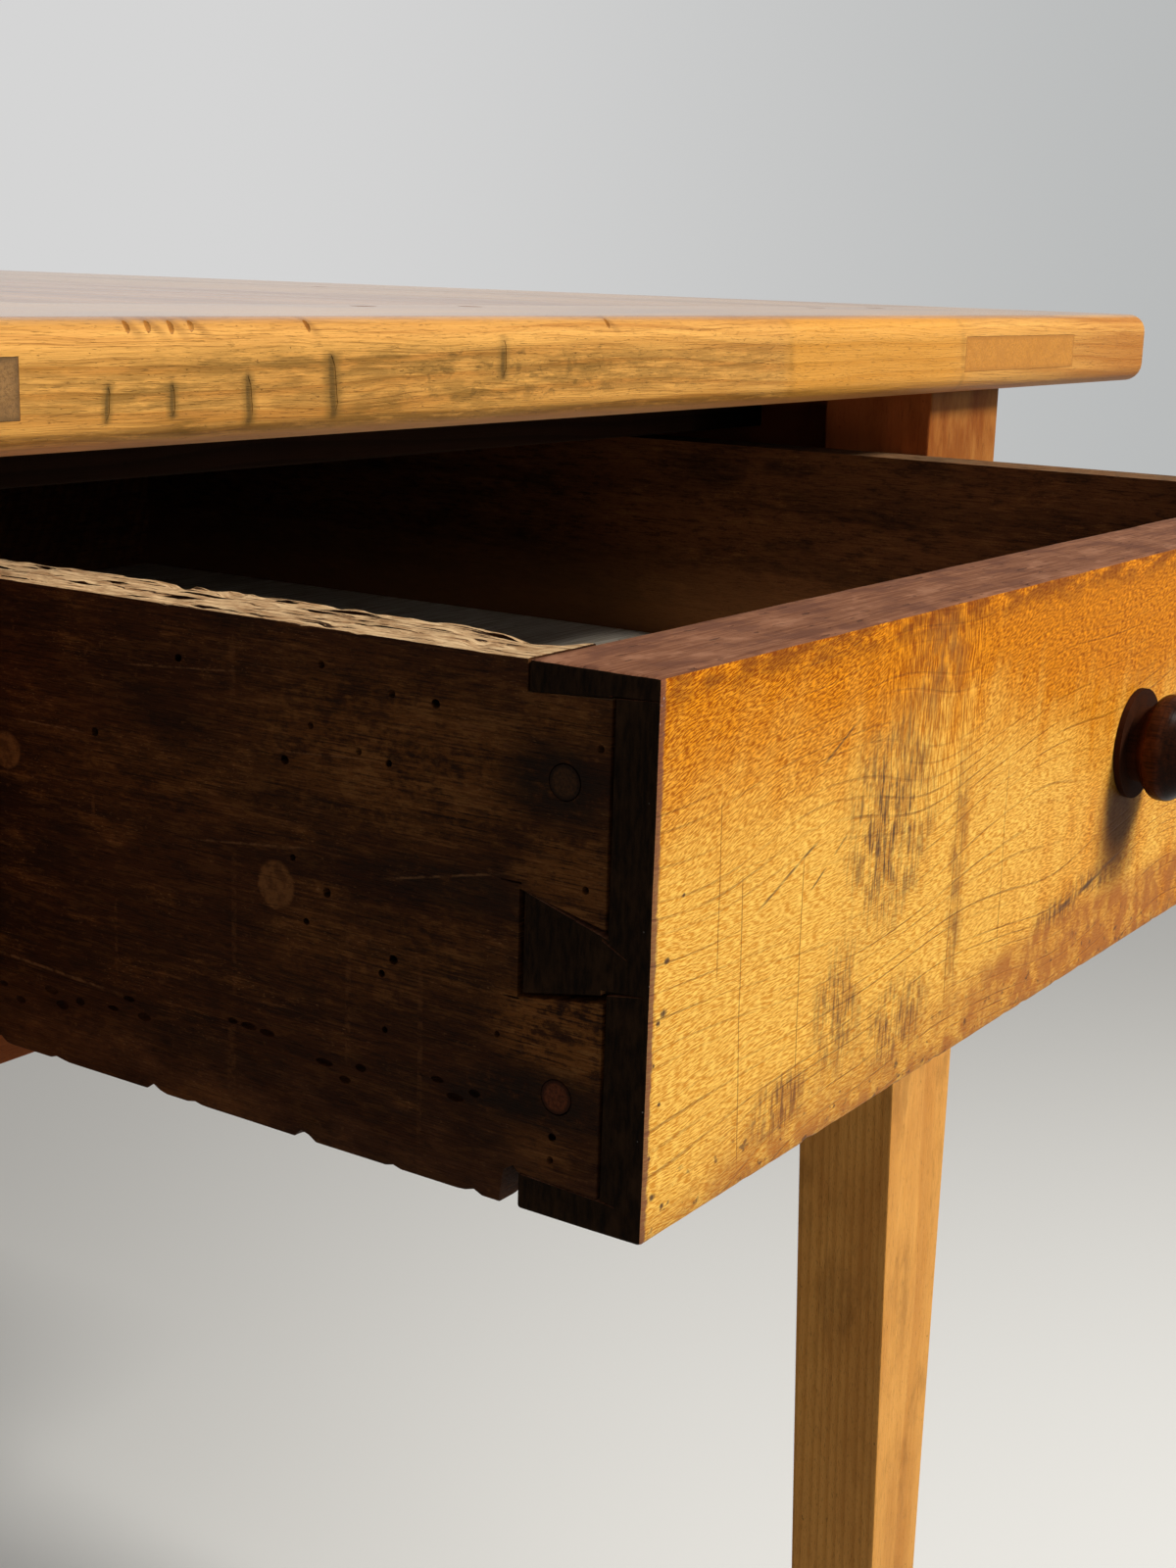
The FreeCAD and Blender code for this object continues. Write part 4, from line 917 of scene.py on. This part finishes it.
def makeWornSide():
    # the left side, whose upper edge is splintered and whose face is worm-eaten
    look = wornSide
    low = inDrawer(0, drawer["lap"], drawer["high"])
    high = inDrawer(drawer["side"], drawer["deep"], 0)
    shape = wornBoard(low, high, look, sideWear)
    piece = pieceOf(shape, "drawerSideLeftWorn", "drawer", "drawer_side_left")
    over = look["over"]
    waste = bmesh.new()
    through = Vector((drawer["side"] + 2 * over, 0, 0)) * mm
    for outline in pinWaste(over, look["gaps"]):
        addPrism(waste, [inDrawer(-over, v, w) for v, w in outline], through)
    carve(piece, waste)
    for low, high in seatBoxes():
        seat = bmesh.new()
        boxCut(seat, low, high)
        carve(piece, seat)
    bores = bmesh.new()
    pegHole = drawer["pegRadius"] + look["pegGap"]
    for v, w in drawer["pegs"]:
        addHole(bores, inDrawer(drawer["side"] / 2, v, w), (1, 0, 0), pegHole * mm, drawer["side"] * mm)
    chance = random.Random(4)
    hole = look["hole"]
    for v, w in look["holes"]:
        lean = Vector((1, *(chance.uniform(-reach, reach) for reach in hole["lean"])))
        addHole(bores, inDrawer(0, v, w), lean, chance.uniform(*hole["radius"]) * mm, hole["deep"] * mm,
                hole["sides"])
    carve(piece, bores)
    dents = bmesh.new()
    hollow = look["hollow"]
    for v, w in look["galleries"]:
        for step in hollow["steps"]:
            strayV, strayW = (chance.uniform(-reach, reach) for reach in hollow["stray"])
            middle = inDrawer(hollow["back"], v + step + strayV, w + strayW)
            radii = (hollow["deep"], chance.uniform(*hollow["long"]), chance.uniform(*hollow["tall"]))
            addHollow(dents, middle, Vector(radii) * mm)
    carve(piece, dents)
    slits = bmesh.new()
    for v, w in look["kerfs"]:
        addSlit(slits, (look["kerfFrom"], w), (v, w), look["kerfHalf"], look["kerfDeep"])
    cleft = look["cleft"]
    for count in range(cleft["count"]):
        strayV, strayU = (chance.uniform(-reach, reach) for reach in cleft["stray"])
        v = cleft["start"] + count * cleft["step"] + strayV
        u = cleft["aside"] + cleft["rowGap"] * (count * 3 % cleft["rows"]) + strayU
        long = chance.uniform(*cleft["long"])
        wide = chance.uniform(*cleft["wide"])
        skew = chance.uniform(-cleft["skew"], cleft["skew"])
        corners = (u, v), (u + wide, v + long / 2), (u + skew, v + long), (u - wide, v + long / 2)
        addPrism(slits, [inDrawer(across, along, cleft["deep"]) for across, along in corners],
                 Vector((0, 0, cleft["cutterTall"])) * mm)
    addPrism(slits, [inDrawer(-cutPast, v, w) for v, w in look["notch"]],
             Vector((drawer["side"] * look["notchShare"], 0, 0)) * mm)
    carve(piece, slits)
    smoothed(piece)


wornFront = {
    "arris": 0.8, "cells": (180, 10, 44), "lapGap": 0.8, "over": 6, "spigotHole": 6.2,
    # room above and below each tail in its socket
    "slack": ((0.15, 0.2), (1.1, 0.2)),
    # splits that run on from the dovetails across the lap: start and end, as (v, w), with a half width
    "splits": (((10.5, 4.7), (0.6, 4.2), 0.25), ((10.5, 48.6), (5.2, 51.5), 0.3),
               ((10.5, 58.6), (1.5, 57.6), 0.5), ((10.5, 98.2), (6, 98.8), 0.22)),
    "splitTip": 0.1, "splitDeep": 2.4,
}


def frontWear(spot):
    # how far a point of the front has been rubbed away, in millimetres
    u, v, w = fromCorner(*(value / mm for value in spot))
    hollow = 0.18 + 0.14 * ripple(u / 28, w / 16, 1) + 0.05 * ripple(u / 6, w / 3, 4)
    face = hollow * max(0, 1 - v / 6)
    top = (0.12 + 0.12 * ripple(u / 18, v / 5, 2)) * max(0, 1 - w / 6)
    knocks = max(0, ripple(u / 5, v / 5, 8) - 0.22)
    low = (0.1 + 1.5 * knocks) * max(0, 1 - (drawer["high"] - w) / 5) * max(0, 1 - v / 12)
    return Vector((0, face, low - top)) * mm


def makeWornFront():
    # the front with its half-blind sockets, open joints and rubbed arrises
    look = wornFront
    wide = (frontHigh.x - frontLow.x) / mm
    low = inDrawer(0, 0, drawer["high"])
    shape = wornBoard(low, inDrawer(wide, drawer["front"], 0), look, frontWear)
    piece = pieceOf(shape, "drawerFrontWorn", "drawer", "drawer_front")
    over = look["over"]
    lap = drawer["lap"] - look["lapGap"]
    back = drawer["front"] + over
    socketWide = drawer["side"] + drawer["slack"]
    sockets = bmesh.new()
    for start in (-over, wide - socketWide):
        for (head, foot), (above, below) in zip(drawer["tails"], look["slack"]):
            outline = ((lap, head[1] - above), (drawer["front"], head[0] - above), (back, head[0] - above),
                       (back, foot[0] + below), (drawer["front"], foot[0] + below), (lap, foot[1] + below))
            addPrism(sockets, [inDrawer(start, v, w) for v, w in outline],
                     Vector((socketWide + over, 0, 0)) * mm)
    carve(piece, sockets)
    holes = bmesh.new()
    boxCut(holes, *seatBoxes()[1])
    knobLow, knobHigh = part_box("drawer_knob")
    knobSpot = Vector(((knobLow.x + knobHigh.x) / 2, (frontLow.y + frontHigh.y) / 2,
                       (knobLow.z + knobHigh.z) / 2))
    addHole(holes, knobSpot, (0, 1, 0), look["spigotHole"] * mm, drawer["front"] * mm)
    carve(piece, holes)
    slits = bmesh.new()
    for start, tip, half in look["splits"]:
        addSlit(slits, start, tip, (half, look["splitTip"]), look["splitDeep"])
    carve(piece, slits)
    smoothed(piece)


def copyOf(node):
    # a CAD piece's mesh, joined up so that it can be worked on
    mesh = nodes[node].data
    shape = bmesh.new()
    for face in mesh.polygons:
        shape.faces.new([shape.verts.new(mesh.vertices[corner].co) for corner in face.vertices])
    shape.transform(nodes[node].matrix_world)
    bmesh.ops.remove_doubles(shape, verts=shape.verts, dist=mergeGap * mm)
    return shape


def makeNickedCleat():
    # the front cleat with the nicks and knocks of its edge
    look = cleatMarks
    front = topLow.y / mm - drawerFace
    base = drawerTop - underside
    flat = look["flatFrom"]
    thick = (topHigh.z - topLow.z) / mm
    inward = Vector((look["endSeam"] * mm, 0, 0))
    # seams beside the rounded edges and the marks keep the shading of the flat faces flat
    seams = [(inDrawer(0, 0, base - flat), (0, 0, 1)), (inDrawer(0, 0, base - thick + flat), (0, 0, 1)),
             (inDrawer(0, front + flat, 0), (0, 1, 0)), (topLow + inward, (1, 0, 0)),
             (topHigh - inward, (1, 0, 0))]
    for mark in look["nicks"] + look["knocks"]:
        for aside in (-look["markSeam"], look["markSeam"]):
            seams.append((inDrawer(mark[0] + aside, 0, 0), (1, 0, 0)))
    shape = copyOf("cleat_front")
    for spot, way in seams:
        bmesh.ops.bisect_plane(shape, geom=shape.verts[:] + shape.edges[:] + shape.faces[:],
                               dist=seamGap * mm, plane_co=spot, plane_no=way)
    piece = pieceOf(shape, "cleatFrontNicked", "table", "cleat_front")
    nicks = bmesh.new()
    for place, low, high, width, lean in look["nicks"]:
        tall = high - low
        mouth = [(place + width * across + tall * up * lean, low + tall * up)
                 for across, up in look["nickShares"]]
        addPrism(nicks, [inDrawer(u, front - cutPast, base - w) for u, w in mouth],
                 Vector((0, look["nickDeep"] + cutPast, 0)) * mm)
    carve(piece, nicks)
    knocks = bmesh.new()
    chance = random.Random(11)
    for place, lean in look["knocks"]:
        turn = Matrix.Rotation(math.atan(lean), 4, "Y")
        spot = Matrix.Translation(inDrawer(place, front + look["knockBack"], base - look["knockUp"]))
        tall = chance.uniform(*look["knockTall"])
        size = Matrix.Diagonal((look["knockWide"] * mm, look["knockDeep"] * mm, tall * mm, 1))
        bmesh.ops.create_icosphere(knocks, subdivisions=2, radius=1, matrix=spot @ turn @ size)
    carve(piece, knocks)
    smoothed(piece)


# slots whose pieces have their arrises eased, by how much and which
easedArrises = {"frame_wood": (1.2, legs + sideAprons + endBoards), "inner_wood": (1, bearers + runners)}
shortestArris = 14  # shorter edges, as round mortises and peg holes, stay sharp
bluntestArris = 50  # so do edges that turn less than this, in degrees
flatWithin = 1  # faces that turn less than this between them become one, in degrees


def makeEased(node, arris):
    # a CAD piece with its long arrises taken off
    shape = copyOf(node)
    bmesh.ops.dissolve_limit(shape, angle_limit=math.radians(flatWithin), verts=shape.verts[:],
                             edges=shape.edges[:])
    long = [edge for edge in shape.edges if edge.is_manifold and edge.is_convex
            and edge.calc_length() > shortestArris * mm
            and edge.calc_face_angle() > math.radians(bluntestArris)]
    bmesh.ops.bevel(shape, geom=long, offset=arris * mm, offset_type="OFFSET", segments=2, profile=0.5,
                    affect="EDGES", clamp_overlap=True, material=-1)
    words = node.split("_")
    name = words[0] + "".join(word.capitalize() for word in words[1:]) + "Eased"
    flattened(pieceOf(shape, name, "table", node))


makeWornSide()
makeWornFront()
print("worn drawer pieces ready")
makeNickedCleat()
for slot, (arris, eased) in easedArrises.items():
    for node in eased:
        makeEased(node, arris)
print("cleat nicked, arrises eased")

# the floor: pale, gone where it meets the pale surroundings
floorLook = {
    "radius": 9, "fadeFrom": 1500, "fadeTo": 5200, "tone": (0.775, 0.772, 0.745, 1),
    "shade": (0.3, 0.29, 0.28, 1), "rough": 0.8, "gloss": 0.1,
    # a painted pool of light on the floor before the table, ahead of the camera's stand and to its right,
    # dimmed towards the left as painted shadow of the table
    "glow": 0.2, "glowNear": 900, "glowFar": 2600, "dimFrom": 150, "dimTo": -620,
    "glowNone": (0, 0, 0, 1), "glowFull": (1, 1, 0.97, 1),
}


def makeFloor():
    look = floorLook
    shape = bmesh.new()
    bmesh.ops.create_circle(shape, cap_ends=True, segments=64, radius=look["radius"])
    floor = objectOf(shape, "floor")
    made, flow, (x, y, z) = newFinish("floorPaint")
    away = (x ** 2 + y ** 2) ** 0.5
    seen = flow.seen()
    tone = seen.blend(look["shade"], look["tone"])
    stand = inDrawer(*cameraView["place"]) / mm
    yaw = math.radians(cameraView["yaw"])
    ahead = (x - stand.x) * math.sin(yaw) + (y - stand.y) * math.cos(yaw)
    # painted pool of light: it fades with distance and is dimmed on the left as painted table shadow
    near = ahead.rise(look["glowFar"], look["glowNear"])
    aside = (x - stand.x) * math.cos(yaw) - (y - stand.y) * math.sin(yaw)
    lit = near * aside.rise(look["dimTo"], look["dimFrom"]) * look["glow"]
    glow = (seen * lit).blend(look["glowNone"], look["glowFull"])
    values = {"Base Color": tone, "Roughness": look["rough"], "Specular IOR Level": look["gloss"],
              "Emission Color": glow, "Emission Strength": 1}
    paint = flow.node("BsdfPrincipled", None, values)
    gone = flow.node("BsdfTransparent")
    fade = away.rise(look["fadeFrom"], look["fadeTo"])
    both = flow.node("MixShader", None, {0: fade, 1: paint, 2: gone})
    flow.node("OutputMaterial", None, {"Surface": both})
    floor.data.materials.append(made)


# what is seen behind the table, from left to right, and the light that it gives
roomLook = {"left": toned(213, 213, 213), "right": toned(182, 184, 184), "span": (-0.2, 0.35),
            "ambient": (0.2, 0.2, 0.205, 1)}


def makeSurroundings():
    world = bpy.data.worlds.new("room")
    world.use_nodes = True
    world.node_tree.nodes.clear()
    flow = Flow(world.node_tree)
    facing = flow.node("TexCoord", out="Generated")
    yaw = math.radians(cameraView["yaw"])
    side = flow.node("VectorMath", {"operation": "DOT_PRODUCT"},
                     {0: facing, 1: (math.cos(yaw), -math.sin(yaw), 0)}, out="Value")
    pale = side.rise(*roomLook["span"]).blend(roomLook["left"], roomLook["right"])
    tone = flow.seen().blend(roomLook["ambient"], pale)
    light = flow.node("Background", None, {"Color": tone, "Strength": 1})
    flow.node("OutputWorld", None, {"Surface": light})
    bpy.context.scene.world = world


# a soft light from the front and above, and a weak low one that reaches into the drawer
lamps = {
    "windowLight": {"aim": (234.5, 0, 50), "from": (0.26, -0.96, 1.02), "distance": 2.6,
                    "wide": 0.6, "high": 0.55, "power": 84},
    "fillLight": {"aim": (234.5, 300, 60), "from": (-0.14, -0.93, 0.34), "distance": 2.6,
                  "wide": 1, "high": 0.8, "power": 3.5},
}
lampTone = (1, 0.97, 0.92)


def makeLight(name, look):
    data = bpy.data.lights.new(name, "AREA")
    data.shape = "RECTANGLE"
    data.size = look["wide"]
    data.size_y = look["high"]
    data.energy = look["power"]
    data.color = lampTone
    lamp = bpy.data.objects.new(name, data)
    bpy.context.scene.collection.objects.link(lamp)
    away = Vector(look["from"]).normalized()
    lamp.location = inDrawer(*look["aim"]) + away * look["distance"]
    lamp.rotation_euler = away.to_track_quat("Z", "Y").to_euler()


def makeCamera():
    yaw, pitch, roll = (math.radians(cameraView[name]) for name in ("yaw", "pitch", "roll"))
    ahead = Vector((math.sin(yaw) * math.cos(pitch), math.cos(yaw) * math.cos(pitch), -math.sin(pitch)))
    level = Vector((math.cos(yaw), -math.sin(yaw), 0))
    upright = level.cross(ahead)
    right = level * math.cos(roll) + upright * math.sin(roll)
    up = upright * math.cos(roll) - level * math.sin(roll)
    data = bpy.data.cameras.new("camera")
    data.sensor_width = cameraView["sensorWide"]
    data.lens = cameraView["lens"]
    data.clip_start = cameraView["clipNear"]
    camera = bpy.data.objects.new("camera", data)
    bpy.context.scene.collection.objects.link(camera)
    turn = Matrix((right, up, -ahead)).transposed().to_4x4()
    camera.matrix_world = Matrix.Translation(inDrawer(*cameraView["place"])) @ turn
    bpy.context.scene.camera = camera


makeFloor()
makeSurroundings()
for lampName, lampLook in lamps.items():
    makeLight(lampName, lampLook)
makeCamera()
bpy.context.scene.view_settings.view_transform = "Standard"
print("floor, light and camera ready")
